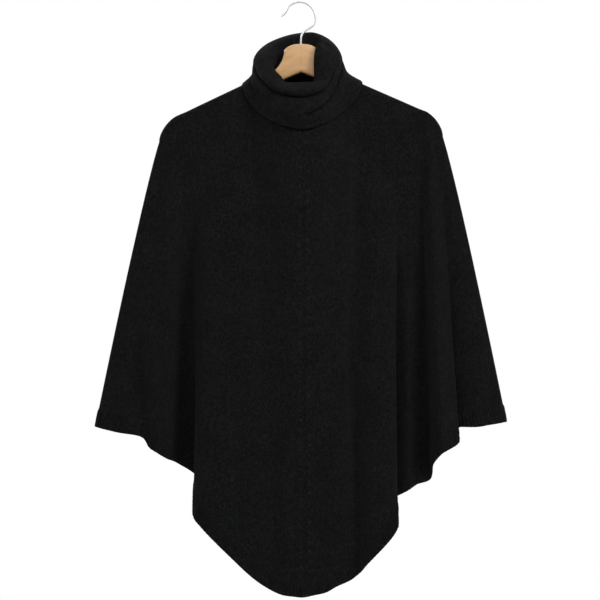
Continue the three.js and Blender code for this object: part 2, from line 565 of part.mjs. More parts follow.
// The wire hook: from its tip round over the top, then a double bend into the stem.
function hookGeometry() {
  const centre = new THREE.Vector3(-STEM_OFFSET, 0, WIRE_RADIUS - HOOK_RADIUS);
  const round = [];
  for (let degrees = HOOK_ROUND.from; degrees >= HOOK_ROUND.to; degrees -= HOOK_ROUND.step) {
    const angle = degToRad(degrees);
    round.push(new THREE.Vector3(Math.cos(angle), 0, Math.sin(angle)).multiplyScalar(HOOK_RADIUS).add(centre));
  }
  const bent = (places) => places.map(({ x, height }) => new THREE.Vector3(x, 0, height));
  const stemEnd = new THREE.Vector3(0, 0, CROWN_HEIGHT - SOCKET_DEPTH + SOCKET_GAP);
  const points = [...bent(HOOK_TIP), ...round, ...bent(HOOK_NECK), stemEnd];
  const section = new THREE.Shape();
  section.absarc(0, 0, WIRE_RADIUS, 0, 2 * Math.PI, false);
  return new THREE.ExtrudeGeometry(section, {
    steps: WIRE_STEPS,
    curveSegments: WIRE_CURVE_STEPS,
    bevelEnabled: false,
    extrudePath: new THREE.CatmullRomCurve3(points, false, "centripetal"),
  });
}

function meshOf(name, geometry, material) {
  const mesh = new THREE.Mesh(geometry, new THREE.MeshStandardMaterial(material));
  mesh.name = name;
  return mesh;
}

const wasm = await Module();
wasm.setup();

const front = new Panel(FRONT_LINES, -1);
const back = new Panel(BACK_LINES, 1);
const frontPieces = panelGeometries(front);
const backPieces = panelGeometries(back);

const garment = new THREE.Group();
garment.add(
  meshOf("body_front", frontPieces.body, KNIT),
  meshOf("body_back", backPieces.body, KNIT),
  meshOf("hem_rib_front", frontPieces.hem, KNIT),
  meshOf("hem_rib_back", backPieces.hem, KNIT),
  meshOf("collar", collarGeometry(neckRound(front, back)), KNIT),
);

const hanger = new THREE.Group();
hanger.add(meshOf("hanger_wood", woodGeometry(wasm), WOOD), meshOf("hanger_hook", hookGeometry(), STEEL));

const poncho = new THREE.Group();
poncho.position.x = STEM_OFFSET;
poncho.add(garment, hanger);

export default poncho;
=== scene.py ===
"""A knitted poncho with a slumped roll collar on a wooden hanger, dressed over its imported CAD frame.

The cloth is laid on the fold lines that the CAD walls follow, at a finer step, with the ribs, small creases
and stitches that the walls leave out. Sizes are millimetres in the garment's own place, which stands STEM_X
to the right of the hook's middle. Meshes are metres in the frame's axes: +Z up, the front facing -Y. Sizes in
the finishes and the studio are metres too.
"""

import logging
import math
from dataclasses import dataclass
from enum import Enum
import bmesh
import bpy
import numpy as np
from mathutils import Matrix, Vector, noise
from mathutils.bvhtree import BVHTree


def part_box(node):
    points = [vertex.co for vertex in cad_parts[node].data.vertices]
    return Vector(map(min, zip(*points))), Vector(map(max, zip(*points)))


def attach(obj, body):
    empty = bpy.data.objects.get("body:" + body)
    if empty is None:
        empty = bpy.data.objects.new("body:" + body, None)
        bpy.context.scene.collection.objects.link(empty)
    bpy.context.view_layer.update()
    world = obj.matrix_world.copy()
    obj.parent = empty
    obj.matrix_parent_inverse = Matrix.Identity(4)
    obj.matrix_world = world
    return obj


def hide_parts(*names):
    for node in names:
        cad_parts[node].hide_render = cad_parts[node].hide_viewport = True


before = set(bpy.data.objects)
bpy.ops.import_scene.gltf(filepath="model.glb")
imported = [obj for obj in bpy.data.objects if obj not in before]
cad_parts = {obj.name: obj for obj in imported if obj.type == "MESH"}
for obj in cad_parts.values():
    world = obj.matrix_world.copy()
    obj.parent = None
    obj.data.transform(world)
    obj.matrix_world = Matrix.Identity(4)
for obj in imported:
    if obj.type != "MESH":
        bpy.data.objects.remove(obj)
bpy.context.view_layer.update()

log = logging.getLogger("poncho")

MM = 0.001
BODY = "root"
STEM_X = sum(corner[0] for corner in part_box("hanger_wood")) / 2

# Sizes of the cloth and the wood, as the CAD solids have them
WALL = 2.4
REST_GAP = 0.4
WOOD_THICKNESS = 13.0
WOOD_EDGE = 4.0
ARM_OUT = WOOD_THICKNESS / 2 + REST_GAP + WALL / 2
CROWN_ROUND = WOOD_EDGE + REST_GAP + WALL / 2
HEM_WIDTH = 26.0
RIB_PITCH = 6.0

# How a fold line falls, as in the CAD walls: the powers that spread it sideways and swell it outwards, the
# share of the fall over which the neck's curve fades, and the steepest edge that the hem's width allows for
SPREAD = 0.9
SWELL = 1.6
NECK_BLEND = 0.2
HEM_STEEPEST = 1.5

Socket = bpy.types.NodeSocket
Value = Socket | float | tuple[float, ...]


class Side(Enum):
    """Which half of the poncho a piece belongs to, and the way out of it along Y."""

    FRONT = -1
    BACK = 1


class At(Enum):
    """Where a fold line starts."""

    SHOULDER = "shoulder"
    NECK = "neck"


@dataclass(frozen=True)
class FallLine:
    """One line that runs down a panel from the shoulder or the neck to the hem.

    Attributes:
        name: What the line follows.
        at: Whether start is a place across the shoulder or degrees round the neck.
        start: Millimetres across the shoulder, or degrees round the neck from the panel's centre.
        hem: Where the line ends across.
        lap: How far the cloth folds back under itself at the hem.
        depth: How far the line ends from the hanger's plane.
        height: How high the line ends.
        begins: Share of the fall at which its fold begins.
    """

    name: str
    at: At
    start: float
    hem: float
    lap: float
    depth: float
    height: float
    begins: float


@dataclass(frozen=True)
class Crease:
    """A soft trough in a panel, or a ridge where its depth is negative.

    Attributes:
        along: Millimetres round the cloth from the centre line, at the trough's top.
        top: Height at which it begins.
        bottom: Height at which it ends.
        lean: Millimetres that it moves along for each millimetre down.
        half_width: Distance over which it fades to the sides.
        depth: How deep it is at its middle.
    """

    along: float
    top: float
    bottom: float
    lean: float
    half_width: float
    depth: float


@dataclass(frozen=True)
class Tuck:
    """A narrow fold round the collar.

    Attributes:
        path: Degrees round the neck, and the place down the cloth counted in rings of its sections.
        half_width: Distance over which it fades up and down.
        depth: How deep it is at its middle.
    """

    path: tuple[tuple[float, float], ...]
    half_width: float
    depth: float


@dataclass(frozen=True)
class CollarSection:
    """A section through the roll collar: distance from the stem and height of each ring.

    Attributes:
        angle: Degrees round the neck from the front centre towards the right.
        standing: The standing layer.
        rim: Its innermost part.
        roll: Its top.
        ridge: Where it turns down.
        crease: The slump below that.
        belly: The fullest part of the turned-down layer.
        edge: Its free end.
    """

    angle: float
    standing: tuple[float, float]
    rim: tuple[float, float]
    roll: tuple[float, float]
    ridge: tuple[float, float]
    crease: tuple[float, float]
    belly: tuple[float, float]
    edge: tuple[float, float]

    def rings(self) -> list[tuple[float, float]]:
        """The section's rings from the standing layer to the free end."""
        return [self.standing, self.rim, self.roll, self.ridge, self.crease, self.belly, self.edge]


FRONT_LINES = (
    FallLine("left side edge", At.SHOULDER, -223, -324, 0, 0, -669, 0),
    FallLine("left edge round", At.SHOULDER, -221.3, -322, 0, 3.5, -670, 0),
    FallLine("left wing", At.SHOULDER, -216, -290, 0, 14, -677.5, 0),
    FallLine("left wing rise", At.SHOULDER, -210, -251, 0, 31, -685, 0.2),
    FallLine("left wing ridge", At.SHOULDER, -203, -235, 0, 35, -702, 0.1),
    FallLine("left wing fall", At.SHOULDER, -195, -212, 0, 22, -718, 0.1),
    FallLine("left valley", At.SHOULDER, -181, -196, 0, -2, -727, 0.12),
    FallLine("left turn", At.SHOULDER, -166, -178.5, 19, -1, -754, 0.12),
    FallLine("left panel edge", At.SHOULDER, -151, -167.5, 0, 33, -806, 0.12),
    FallLine("left panel face", At.SHOULDER, -139, -155, 0, 47, -824, 0.05),
    FallLine("left panel", At.SHOULDER, -126, -114, 0, 53, -866, 0),
    FallLine("left of centre", At.SHOULDER, -95, -72, 0, 51, -905, 0),
    FallLine("left neck point", At.NECK, -90, -48, 0, 49, -921, 0),
    FallLine("left neck", At.NECK, -52, -29, 0, 49, -929, 0),
    FallLine("left front neck", At.NECK, -24, -12, 0, 49.5, -931.5, 0),
    FallLine("centre front", At.NECK, 0, 3, 0, 50, -932.7, 0),
    FallLine("right front neck", At.NECK, 24, 20, 0, 50.5, -929.5, 0),
    FallLine("right neck", At.NECK, 52, 39, 0, 51, -925, 0),
    FallLine("right neck point", At.NECK, 90, 56, 0, 49.5, -915.5, 0),
    FallLine("right valley", At.SHOULDER, 92, 83, 0, 42, -903, 0.25),
    FallLine("right panel face", At.SHOULDER, 117, 107, 0, 54, -877, 0.15),
    FallLine("right panel edge", At.SHOULDER, 139, 149.5, 0, 40, -825, 0.2),
    FallLine("right turn", At.SHOULDER, 151, 153, -16, 3, -790, 0.2),
    FallLine("right low ridge", At.SHOULDER, 166, 166, 0, 8.5, -771, 0.2),
    FallLine("right deep valley", At.SHOULDER, 177, 182, 0, -1, -761, 0.15),
    FallLine("right valley end", At.SHOULDER, 187, 204.5, 0, -3, -753, 0.1),
    FallLine("right wing rise", At.SHOULDER, 193, 208.5, 0, 16, -728, 0.05),
    FallLine("right wing ridge", At.SHOULDER, 199, 221, 0, 35, -710, 0),
    FallLine("right ridge edge", At.SHOULDER, 209, 248, 0, 14.5, -692, 0.12),
    FallLine("right wing turn", At.SHOULDER, 213, 250, -11, 1.5, -673, 0.45),
    FallLine("right wing", At.SHOULDER, 217, 281, 0, 11, -669, 0),
    FallLine("right edge round", At.SHOULDER, 221.3, 321.5, 0, 5, -662, 0),
    FallLine("right side edge", At.SHOULDER, 223, 323.5, 0, 0, -661.5, 0),
)
BACK_LINES = (
    FallLine("left side edge", At.SHOULDER, -223, -324, 0, 0, -669, 0),
    FallLine("left edge round", At.SHOULDER, -221.3, -322, 0, 5, -669.5, 0),
    FallLine("left wing", At.SHOULDER, -216, -286, 0, 18, -667, 0),
    FallLine("left wing ridge", At.SHOULDER, -207, -250, 0, 38, -677, 0.05),
    FallLine("left small valley", At.SHOULDER, -198, -222, 0, 21, -690, 0.15),
    FallLine("left ridge", At.SHOULDER, -186, -192, 0, 48, -714, 0.1),
    FallLine("left ridge edge", At.SHOULDER, -176, -170, 0, 40, -727, 0.1),
    FallLine("left turn", At.SHOULDER, -166, -160, -11, 20, -740, 0.15),
    FallLine("left valley", At.SHOULDER, -152, -143, 0, 19, -755, 0.15),
    FallLine("left panel", At.SHOULDER, -124, -110, 0, 44, -800, 0.1),
    FallLine("left of centre", At.SHOULDER, -97, -72, 0, 52, -862, 0),
    FallLine("left neck point", At.NECK, -90, -46, 0, 49, -893, 0),
    FallLine("left neck", At.NECK, -52, -27, 0, 46, -914, 0),
    FallLine("left back neck", At.NECK, -24, -10, 0, 44, -924, 0),
    FallLine("centre back", At.NECK, 0, 3, 0, 44, -927, 0),
    FallLine("right back neck", At.NECK, 24, 18, 0, 46, -922, 0),
    FallLine("right neck", At.NECK, 52, 36, 0, 50, -910, 0),
    FallLine("right neck point", At.NECK, 90, 56, 0, 55, -892, 0),
    FallLine("right of centre", At.SHOULDER, 97, 84, 0, 58, -860, 0),
    FallLine("right soft valley", At.SHOULDER, 126, 114, 0, 39, -818, 0.2),
    FallLine("right panel face", At.SHOULDER, 150, 143, 0, 56, -778, 0.1),
    FallLine("right panel edge", At.SHOULDER, 162, 165, 0, 43, -745, 0.15),
    FallLine("right turn", At.SHOULDER, 172, 176, -14, 19, -722, 0.15),
    FallLine("right valley", At.SHOULDER, 184, 194, 0, 18, -708, 0.15),
    FallLine("right wing ridge", At.SHOULDER, 197, 224, 0, 41, -688, 0.1),
    FallLine("right small valley", At.SHOULDER, 207, 252, 0, 23, -662, 0.1),
    FallLine("right wing", At.SHOULDER, 216, 288, 0, 17, -657, 0),
    FallLine("right edge round", At.SHOULDER, 221.3, 321.5, 0, 5, -661.5, 0),
    FallLine("right side edge", At.SHOULDER, 223, 323.5, 0, 0, -661.5, 0),
)

COLLAR_SECTIONS = (
    CollarSection(0, (36, -158), (20, -140), (28, -129), (64, -147), (61, -155), (69, -179), (63, -203)),
    CollarSection(20, (37, -155), (21, -140), (29, -129), (62, -142), (59, -151), (69, -174), (67, -199)),
    CollarSection(38, (39, -149), (26, -138), (34, -127), (58, -134), (56, -144), (67, -166), (71, -190)),
    CollarSection(48, (41, -143), (28, -125), (36, -114), (56, -127), (55, -138), (67, -159), (74, -182)),
    CollarSection(68, (45, -120), (25.5, -82), (30, -67), (58, -108), (60, -119), (73, -139), (85, -162)),
    CollarSection(81, (48, -107), (31, -80), (35, -67), (61, -93), (64, -104), (75, -123), (96, -140)),
    CollarSection(92, (50, -101), (32, -74), (38, -60), (62, -82), (66, -95), (74, -112), (95, -124)),
    CollarSection(120, (44, -97), (29, -65), (35, -51), (57, -60), (62, -74), (67, -96), (76, -120)),
    CollarSection(150, (33, -92), (23, -58), (31, -45), (47, -47), (50, -60), (54, -84), (52, -115)),
    CollarSection(180, (27, -90), (18, -60), (25, -48), (41, -45), (45, -58), (48.5, -82), (46, -113)),
    CollarSection(210, (36, -96), (26, -68), (34, -53), (51, -49), (54, -61), (57.5, -85), (55, -115)),
    CollarSection(240, (48, -106), (33, -90), (43, -66), (64, -63), (69, -77), (73, -98), (76, -122)),
    CollarSection(268, (58, -109), (41, -97), (48, -83), (72, -86), (75, -99), (78, -115), (91, -127)),
    CollarSection(280, (57, -116), (44, -106), (50, -95), (70, -102), (72, -114), (79, -128), (92, -142)),
    CollarSection(293, (49, -130), (42, -117), (48, -107), (67, -117), (67, -128), (73, -144), (84, -164)),
    CollarSection(304, (45, -143), (36, -128), (42, -116.5), (64, -125), (63, -137), (70, -154), (78, -176)),
    CollarSection(316, (41, -152), (31, -138), (38, -127.5), (60, -135), (59, -146), (67, -165), (73, -187)),
    CollarSection(338, (37, -156), (23, -141), (31, -130), (62, -143), (60, -152), (68, -174), (67, -198)),
)
COLLAR_TUCKS = (
    Tuck(
        path=(
            (268, 4.6), (285, 4.8), (304, 4.9), (330, 5.0), (380, 5.0),
            (396, 4.9), (408, 4.6), (420, 4.1), (430, 3.75),
        ),
        half_width=3.0,
        depth=5.5,
    ),
    Tuck(
        path=(
            (358, 6.25), (380, 6.05), (395, 5.88), (410, 5.7), (425, 5.48),
            (440, 5.15), (455, 4.75), (475, 4.25), (505, 3.9),
        ),
        half_width=3.2,
        depth=6.2,
    ),
    Tuck(path=((255, 5.5), (270, 5.9), (285, 6.2), (298, 6.4)), half_width=4.0, depth=2.2),
)


FRONT_CREASES = (
    Crease(along=76, top=-380, bottom=-960, lean=0.03, half_width=9, depth=4.6),
    Crease(along=60, top=-240, bottom=-520, lean=0.03, half_width=16, depth=1.2),
    Crease(along=-56, top=-560, bottom=-960, lean=0.02, half_width=13, depth=3.0),
    Crease(along=-28, top=-600, bottom=-940, lean=0.0, half_width=11, depth=-2.2),
    Crease(along=-112, top=-480, bottom=-930, lean=0.03, half_width=14, depth=2.8),
    Crease(along=30, top=-620, bottom=-960, lean=-0.02, half_width=15, depth=2.4),
    Crease(along=-150, top=-190, bottom=-420, lean=-0.06, half_width=10, depth=1.8),
    Crease(along=128, top=-160, bottom=-430, lean=0.06, half_width=11, depth=1.8),
    Crease(along=-296, top=-450, bottom=-760, lean=-0.11, half_width=15, depth=7.0),
    Crease(along=-352, top=-420, bottom=-720, lean=-0.16, half_width=14, depth=-2.4),
    Crease(along=384, top=-400, bottom=-760, lean=0.12, half_width=12, depth=3.4),
    Crease(along=-255, top=-300, bottom=-640, lean=-0.06, half_width=12, depth=2.2),
    Crease(along=-279, top=-470, bottom=-760, lean=-0.09, half_width=8, depth=-3.0),
)
BACK_CREASES = (
    Crease(along=-48, top=-260, bottom=-700, lean=0.03, half_width=16, depth=3.0),
    Crease(along=58, top=-380, bottom=-960, lean=-0.02, half_width=15, depth=3.2),
    Crease(along=-120, top=-220, bottom=-520, lean=-0.06, half_width=12, depth=-2.2),
    Crease(along=136, top=-300, bottom=-640, lean=0.05, half_width=12, depth=2.4),
    Crease(along=4, top=-500, bottom=-960, lean=0.0, half_width=18, depth=-3.0),
    Crease(along=-282, top=-300, bottom=-680, lean=-0.12, half_width=11, depth=2.6),
    Crease(along=296, top=-340, bottom=-690, lean=0.12, half_width=12, depth=2.8),
    Crease(along=-364, top=-420, bottom=-720, lean=-0.15, half_width=13, depth=3.2),
    Crease(along=380, top=-360, bottom=-700, lean=0.14, half_width=13, depth=-2.6),
)


@dataclass(frozen=True)
class Shoulders:
    """The cloth over the arms of the hanger, which tilts a little.

    Attributes:
        top: Height at which both arms' lines would meet in the middle.
        slope: Fall of an arm for each millimetre across.
        tilt: Turn of the whole hanger.
        tip_start: Where the round at the arm's end begins.
        tip_end: Where it ends.
        tip_fall: How far the cloth falls over it.
        tip_round: Power of that curve, seen from the front.
        tip_blunt: Power of the end's curve, seen from above.
    """

    top: float = -86.0
    slope: float = 0.456
    tilt: float = math.radians(1.1)
    tip_start: float = 192.0
    tip_end: float = 223.0
    tip_fall: float = 38.0
    tip_round: float = 1.5
    tip_blunt: float = 2.6

    def tip_share(self, x: np.ndarray) -> np.ndarray:
        """Finds how far each place lies through the round at the arm's end, from 0 to 1."""
        return np.clip((np.abs(x) - self.tip_start) / (self.tip_end - self.tip_start), 0, 1)

    def height(self, x: np.ndarray) -> np.ndarray:
        """Finds the height of the outside of the cloth.

        Args:
            x: Places across.

        Returns:
            One height for each place.
        """
        drop = 1 - (1 - self.tip_share(x) ** self.tip_round) ** (1 / self.tip_round)
        level = self.top - self.slope * np.minimum(np.abs(x), self.tip_start)
        return level - self.tip_fall * drop + x * math.tan(self.tilt)

    def out(self, x: np.ndarray) -> np.ndarray:
        """Finds how far the middle of the cloth stands out over the arm, which has a blunt end."""
        return ARM_OUT * (1 - self.tip_share(x) ** self.tip_blunt) ** (1 / self.tip_blunt)

    def bend(self, tops: np.ndarray, outs: np.ndarray, side: Side, angle: float) -> np.ndarray:
        """Bends the cloth over the arm's edge.

        Args:
            tops: Points on top of the arm.
            outs: How far each still has to go outwards.
            side: The panel's side.
            angle: Radians round the edge, from 0 on top to a quarter turn on the arm's face.

        Returns:
            The points, moved out and down.
        """
        reach = (ARM_OUT - CROWN_ROUND * (1 - math.sin(angle))) / ARM_OUT if angle > 0 else 0.0
        share = outs / ARM_OUT
        turn = (1 - share) * angle / (math.pi / 2) + share * (1 - math.cos(angle))
        moved = tops.copy()
        moved[..., 1] += side.value * outs * reach
        moved[..., 2] -= CROWN_ROUND * turn * math.hypot(1, self.slope)
        return moved


@dataclass(frozen=True)
class NeckSeam:
    """The seam between the collar and both panels.

    Attributes:
        shoulders: The cloth over the arms.
        half_width: Half its width, from one side of the neck to the other.
        front_depth: How far it reaches forwards.
        back_depth: How far it reaches backwards.
        front_fall: How far it falls towards the front.
        back_rise: How far it rises towards the back.
        point: How pointed it is at its sides, seen from above, from 0 to 1.
    """

    shoulders: Shoulders
    half_width: float = 78.0
    front_depth: float = 49.0
    back_depth: float = 42.0
    front_fall: float = 55.0
    back_rise: float = 8.0
    point: float = 0.5

    def points(self, angles: np.ndarray, side: Side) -> np.ndarray:
        """Finds points of the seam.

        Args:
            angles: Radians from the front or back centre towards the right.
            side: Which half of the seam.

        Returns:
            One point for each angle.
        """
        along = np.maximum(0, np.cos(angles))
        depth = self.front_depth if side is Side.FRONT else self.back_depth
        rise = -self.front_fall if side is Side.FRONT else self.back_rise
        x = self.half_width * np.sin(angles)
        y = side.value * depth * along * (self.point + (1 - self.point) * along**2)
        level = self.shoulders.top - self.shoulders.slope * self.half_width - WALL / 2
        return np.stack([x, y, level + rise * along**3 + x * math.tan(self.shoulders.tilt)], axis=-1)


SHOULDERS = Shoulders()
NECK_SEAM = NeckSeam(SHOULDERS)


def through(knots: np.ndarray, shares: np.ndarray, closed: bool = False) -> np.ndarray:
    """Joins knots with smooth centripetal curves, one for each row and column.

    Args:
        knots: An array of knots x rows x columns x 3.
        shares: For each column, how far along its curve to read.
        closed: Whether the curve joins up with its start.

    Returns:
        An array of rows x columns x 3.
    """
    count = len(knots)
    if closed:
        ends = np.concatenate([knots[-1:], knots, knots[:2]])
        place = shares * count
        first = np.floor(place).astype(int) % count
        weight = place - np.floor(place)
    else:
        ends = np.concatenate([2 * knots[:1] - knots[1:2], knots, 2 * knots[-1:] - knots[-2:-1]])
        place = shares * (count - 1)
        first = np.minimum(place.astype(int), count - 2)
        weight = place - first
    column = np.arange(len(shares))
    before, start, end, after = (ends[first + k, :, column] for k in range(4))
    weight = weight[:, None, None]

    def span(a: np.ndarray, b: np.ndarray) -> np.ndarray:
        """Takes the square root of the distance between knots."""
        return np.maximum(np.linalg.norm(b - a, axis=-1, keepdims=True), 1e-6) ** 0.5

    lead, middle, tail = span(before, start), span(start, end), span(end, after)
    leave = ((start - before) / lead - (end - before) / (lead + middle) + (end - start) / middle) * middle
    arrive = ((end - start) / middle - (after - start) / (middle + tail) + (after - end) / tail) * middle
    square = -3 * start + 3 * end - 2 * leave - arrive
    cube = 2 * start - 2 * end + leave + arrive
    read = start + weight * (leave + weight * (square + weight * cube))
    return read.transpose(1, 0, 2)


def curve(knots: np.ndarray, shares: np.ndarray) -> np.ndarray:
    """Reads one smooth curve through the knots at each share."""
    spread = np.broadcast_to(knots[:, None, None], (len(knots), 1, len(shares), 3))
    return through(spread, shares)[0]


def walk(points: np.ndarray) -> np.ndarray:
    """Measures how far along its route each point lies."""
    return np.concatenate([[0], np.cumsum(np.linalg.norm(np.diff(points, axis=0), axis=1))])


def normals_of(grid: np.ndarray, closed: bool = False) -> np.ndarray:
    """Finds the normals of a grid of points, on the side from which its columns run left to right.

    Args:
        grid: Rows x columns x 3.
        closed: Whether the last column meets the first.

    Returns:
        A unit normal for each point.
    """
    down = np.gradient(grid, axis=0)
    if closed:
        ring = np.concatenate([grid[:, -2:-1], grid, grid[:, 1:2]], axis=1)
        across = (ring[:, 2:] - ring[:, :-2]) / 2
    else:
        across = np.gradient(grid, axis=1)
    normal = np.cross(down, across)
    return normal / np.maximum(np.linalg.norm(normal, axis=-1, keepdims=True), 1e-9)


def eased(x: np.ndarray) -> np.ndarray:
    """Steps smoothly from 0 at 0 to 1 at 1."""
    x = np.clip(x, 0, 1)
    return x * x * (3 - 2 * x)


def set_down(name: str, bm: bmesh.types.BMesh) -> bpy.types.Object:
    """Turns a bmesh into a smooth-shaded object of the scene.

    Args:
        name: Name of the new object.
        bm: Its shape, which is used up.

    Returns:
        The new object.
    """
    for face in bm.faces:
        face.smooth = True
    mesh = bpy.data.meshes.new(name)
    bm.to_mesh(mesh)
    bm.free()
    made = bpy.data.objects.new(name, mesh)
    bpy.context.scene.collection.objects.link(made)
    return made


def lay_sheet(name: str, grid: np.ndarray, uv: np.ndarray) -> bpy.types.Object:
    """Lays a flat bmesh grid on the cloth's points and gives it the wall's thickness.

    Args:
        name: Name of the new piece.
        grid: Rows x columns x 3 of points, in millimetres from the garment's middle.
        uv: Rows x columns x 2 of places in the flat cloth, in metres.

    Returns:
        The new object.
    """
    rows, columns = grid.shape[:2]
    places = (grid + np.array([STEM_X / MM, 0, 0])) * MM
    bm = bmesh.new()
    bmesh.ops.create_grid(bm, x_segments=columns - 1, y_segments=rows - 1, size=0.5)
    cloth = bm.loops.layers.uv.new("cloth")
    spots = []
    for vert in bm.verts:
        row = round((0.5 - vert.co.y) * (rows - 1))
        column = round((vert.co.x + 0.5) * (columns - 1))
        spots.append((row, column))
        vert.co = places[row, column]
    for face in bm.faces:
        for loop in face.loops:
            loop[cloth].uv = uv[spots[loop.vert.index]]
    bmesh.ops.remove_doubles(bm, verts=bm.verts, dist=1e-6)
    sheet = set_down(name, bm)
    wall = sheet.modifiers.new("thickness", "SOLIDIFY")
    wall.thickness = WALL * MM
    wall.offset = 0
    return sheet


def finish_piece(piece: bpy.types.Object, material: bpy.types.Material, slot: str, *nodes: str) -> None:
    """Dresses a piece, ties it to the body and puts it in the place of CAD nodes.

    Args:
        piece: The piece.
        material: Its finish.
        slot: Name of a material slot; not used.
        *nodes: The CAD nodes that it stands for.
    """
    piece.data.materials.append(material)
    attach(piece, BODY)
    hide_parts(*nodes)
    log.info("%s: %d faces, in place of %s", piece.name, len(piece.data.polygons), ", ".join(nodes))


class Graph:
    """A material's nodes, written as sums."""

    def __init__(self, name: str) -> None:
        """Starts a material with a Principled surface.

        Args:
            name: Name of the material.
        """
        self.material = bpy.data.materials.new(name)
        self.material.use_nodes = True
        self.tree = self.material.node_tree
        self.surface = self.tree.nodes["Principled BSDF"]

    def node(self, kind: str, **settings: object) -> bpy.types.Node:
        """Adds a node.

        Args:
            kind: Its type.
            **settings: What is set on it.

        Returns:
            The new node.
        """
        made = self.tree.nodes.new(kind)
        for key, value in settings.items():
            setattr(made, key, value)
        return made

    def feed(self, socket: Socket, value: Value) -> None:
        """Fills an input.

        Args:
            socket: The input.
            value: An output that is linked to it, or its number.
        """
        if isinstance(value, Socket):
            self.tree.links.new(value, socket)
        else:
            socket.default_value = value

    def made_from(self, made: bpy.types.Node, *values: Value) -> Socket:
        """Fills a node's inputs in order.

        Args:
            made: The node.
            *values: Numbers or sockets.

        Returns:
            Its first output.
        """
        for socket, value in zip(made.inputs, values):
            self.feed(socket, value)
        return made.outputs[0]

    def sum(self, operation: str, *values: Value) -> Socket:
        """Works out one step of a sum, by the Math node's name for it."""
        return self.made_from(self.node("ShaderNodeMath", operation=operation), *values)

    def blend(self, *parts: tuple[Socket, float]) -> Socket:
        """Adds sockets up, each times its weight.

        Args:
            *parts: The sockets and their weights.

        Returns:
            The total.
        """
        weighed = [self.sum("MULTIPLY", value, weight) for value, weight in parts]
        total = weighed[0]
        for part in weighed[1:]:
            total = self.sum("ADD", total, part)
        return total

    def range(self, value: Socket, low: float, high: float, start: float, end: float) -> Socket:
        """Maps low to high onto start to end, smoothly and clamped."""
        made = self.node("ShaderNodeMapRange", interpolation_type="SMOOTHSTEP")
        return self.made_from(made, value, low, high, start, end)

    def split(self, vector: Socket) -> tuple[Socket, ...]:
        """Takes a vector apart.

        Args:
            vector: The vector.

        Returns:
            Its three parts.
        """
        made = self.node("ShaderNodeSeparateXYZ")
        self.feed(made.inputs[0], vector)
        return tuple(made.outputs)

    def join(self, *parts: Value) -> Socket:
        """Makes a vector of up to three parts."""
        return self.made_from(self.node("ShaderNodeCombineXYZ"), *parts)

    def noise(self, vector: Socket, scale: float, detail: float = 2.0, roughness: float = 0.5) -> Socket:
        """Makes soft noise.

        Args:
            vector: Where it is read.
            scale: Waves a metre.
            detail: Finer layers in it.
            roughness: Weight of those layers.

        Returns:
            A number from 0 to 1.
        """
        made = self.node("ShaderNodeTexNoise")
        self.feed(made.inputs["Vector"], vector)
        made.inputs["Scale"].default_value = scale
        made.inputs["Detail"].default_value = detail
        made.inputs["Roughness"].default_value = roughness
        return made.outputs["Fac"]

    def speckle(self, x: Socket, y: Socket) -> Socket:
        """Gives each whole place a number of its own.

        Args:
            x: Place across.
            y: Place up.

        Returns:
            A number from 0 to 1.
        """
        made = self.node("ShaderNodeTexWhiteNoise", noise_dimensions="2D")
        self.feed(made.inputs["Vector"], self.join(x, y))
        return made.outputs["Value"]

    def shade(self, factor: Socket, places: tuple[float, ...], colours: tuple[tuple, ...]) -> Socket:
        """Turns a number into a colour along a ramp.

        Args:
            factor: The number.
            places: Places of the ramp's stops.
            colours: Their linear colours.

        Returns:
            The colour.
        """
        ramp = self.node("ShaderNodeValToRGB")
        elements = ramp.color_ramp.elements
        while len(elements) < len(places):
            elements.new(0.5)
        for element, place, colour in zip(elements, places, colours):
            element.position = place
            element.color = (*colour, 1)
        return self.made_from(ramp, factor)

    def bump(self, height: Socket, distance: float, strength: float = 1.0) -> None:
        """Raises the surface.

        Args:
            height: The relief, from 0 to 1.
            distance: Metres from 0 to 1.
            strength: Share of the relief that is seen.
        """
        made = self.node("ShaderNodeBump")
        made.inputs["Strength"].default_value = strength
        made.inputs["Distance"].default_value = distance
        self.feed(made.inputs["Height"], height)
        self.feed(self.surface.inputs["Normal"], made.outputs[0])


@dataclass(frozen=True)
class FashioningLine:
    """The line down the centre front, with lighter narrowing marks to both sides of it.

    Attributes:
        along: Metres round the cloth from the centre column.
        half_width: Half the width of the line itself.
        marks_out: Distance of the marks to either side.
        marks_pitch: From one mark to the next.
        mark_radius: Half the size of a mark.
        core: Share of a width or radius within which line and marks are full.
        stagger: How far the marks of either side are shifted from the middle, in pitches.
        mark_tone: How much lighter a mark is.
        line_tone: How much darker the line is.
        line_groove: Depth of the line beside the stitches' relief.
    """

    along: float = 0.0035
    half_width: float = 0.0016
    marks_out: float = 0.0066
    marks_pitch: float = 0.0152
    mark_radius: float = 0.0026
    core: float = 0.4
    stagger: float = 0.25
    mark_tone: float = 0.16
    line_tone: float = 0.035
    line_groove: float = 0.4

    def draw(self, graph: Graph, across: Socket, along: Socket) -> tuple[Socket, Socket]:
        """Draws the line and the dots beside it.

        Args:
            graph: The material's nodes.
            across: Place across the cloth.
            along: Place along the cloth's height.

        Returns:
            The line and the dots, each from 0 off them to 1 on them.
        """
        signed = graph.sum("SUBTRACT", across, self.along)
        offset = graph.sum("ABSOLUTE", signed)
        line = graph.range(offset, self.half_width * self.core, self.half_width, 1.0, 0.0)
        lowered = graph.sum("MULTIPLY", graph.sum("SIGN", signed), self.stagger)
        step = graph.sum("FRACT", graph.sum("ADD", graph.sum("DIVIDE", along, self.marks_pitch), lowered))
        down = graph.sum("MULTIPLY", graph.sum("SUBTRACT", step, 0.5), self.marks_pitch)
        aside = graph.sum("SUBTRACT", offset, self.marks_out)
        squares = graph.sum("ADD", graph.sum("MULTIPLY", down, down), graph.sum("MULTIPLY", aside, aside))
        radius = graph.sum("SQRT", squares)
        return line, graph.range(radius, self.mark_radius * self.core, self.mark_radius, 1.0, 0.0)


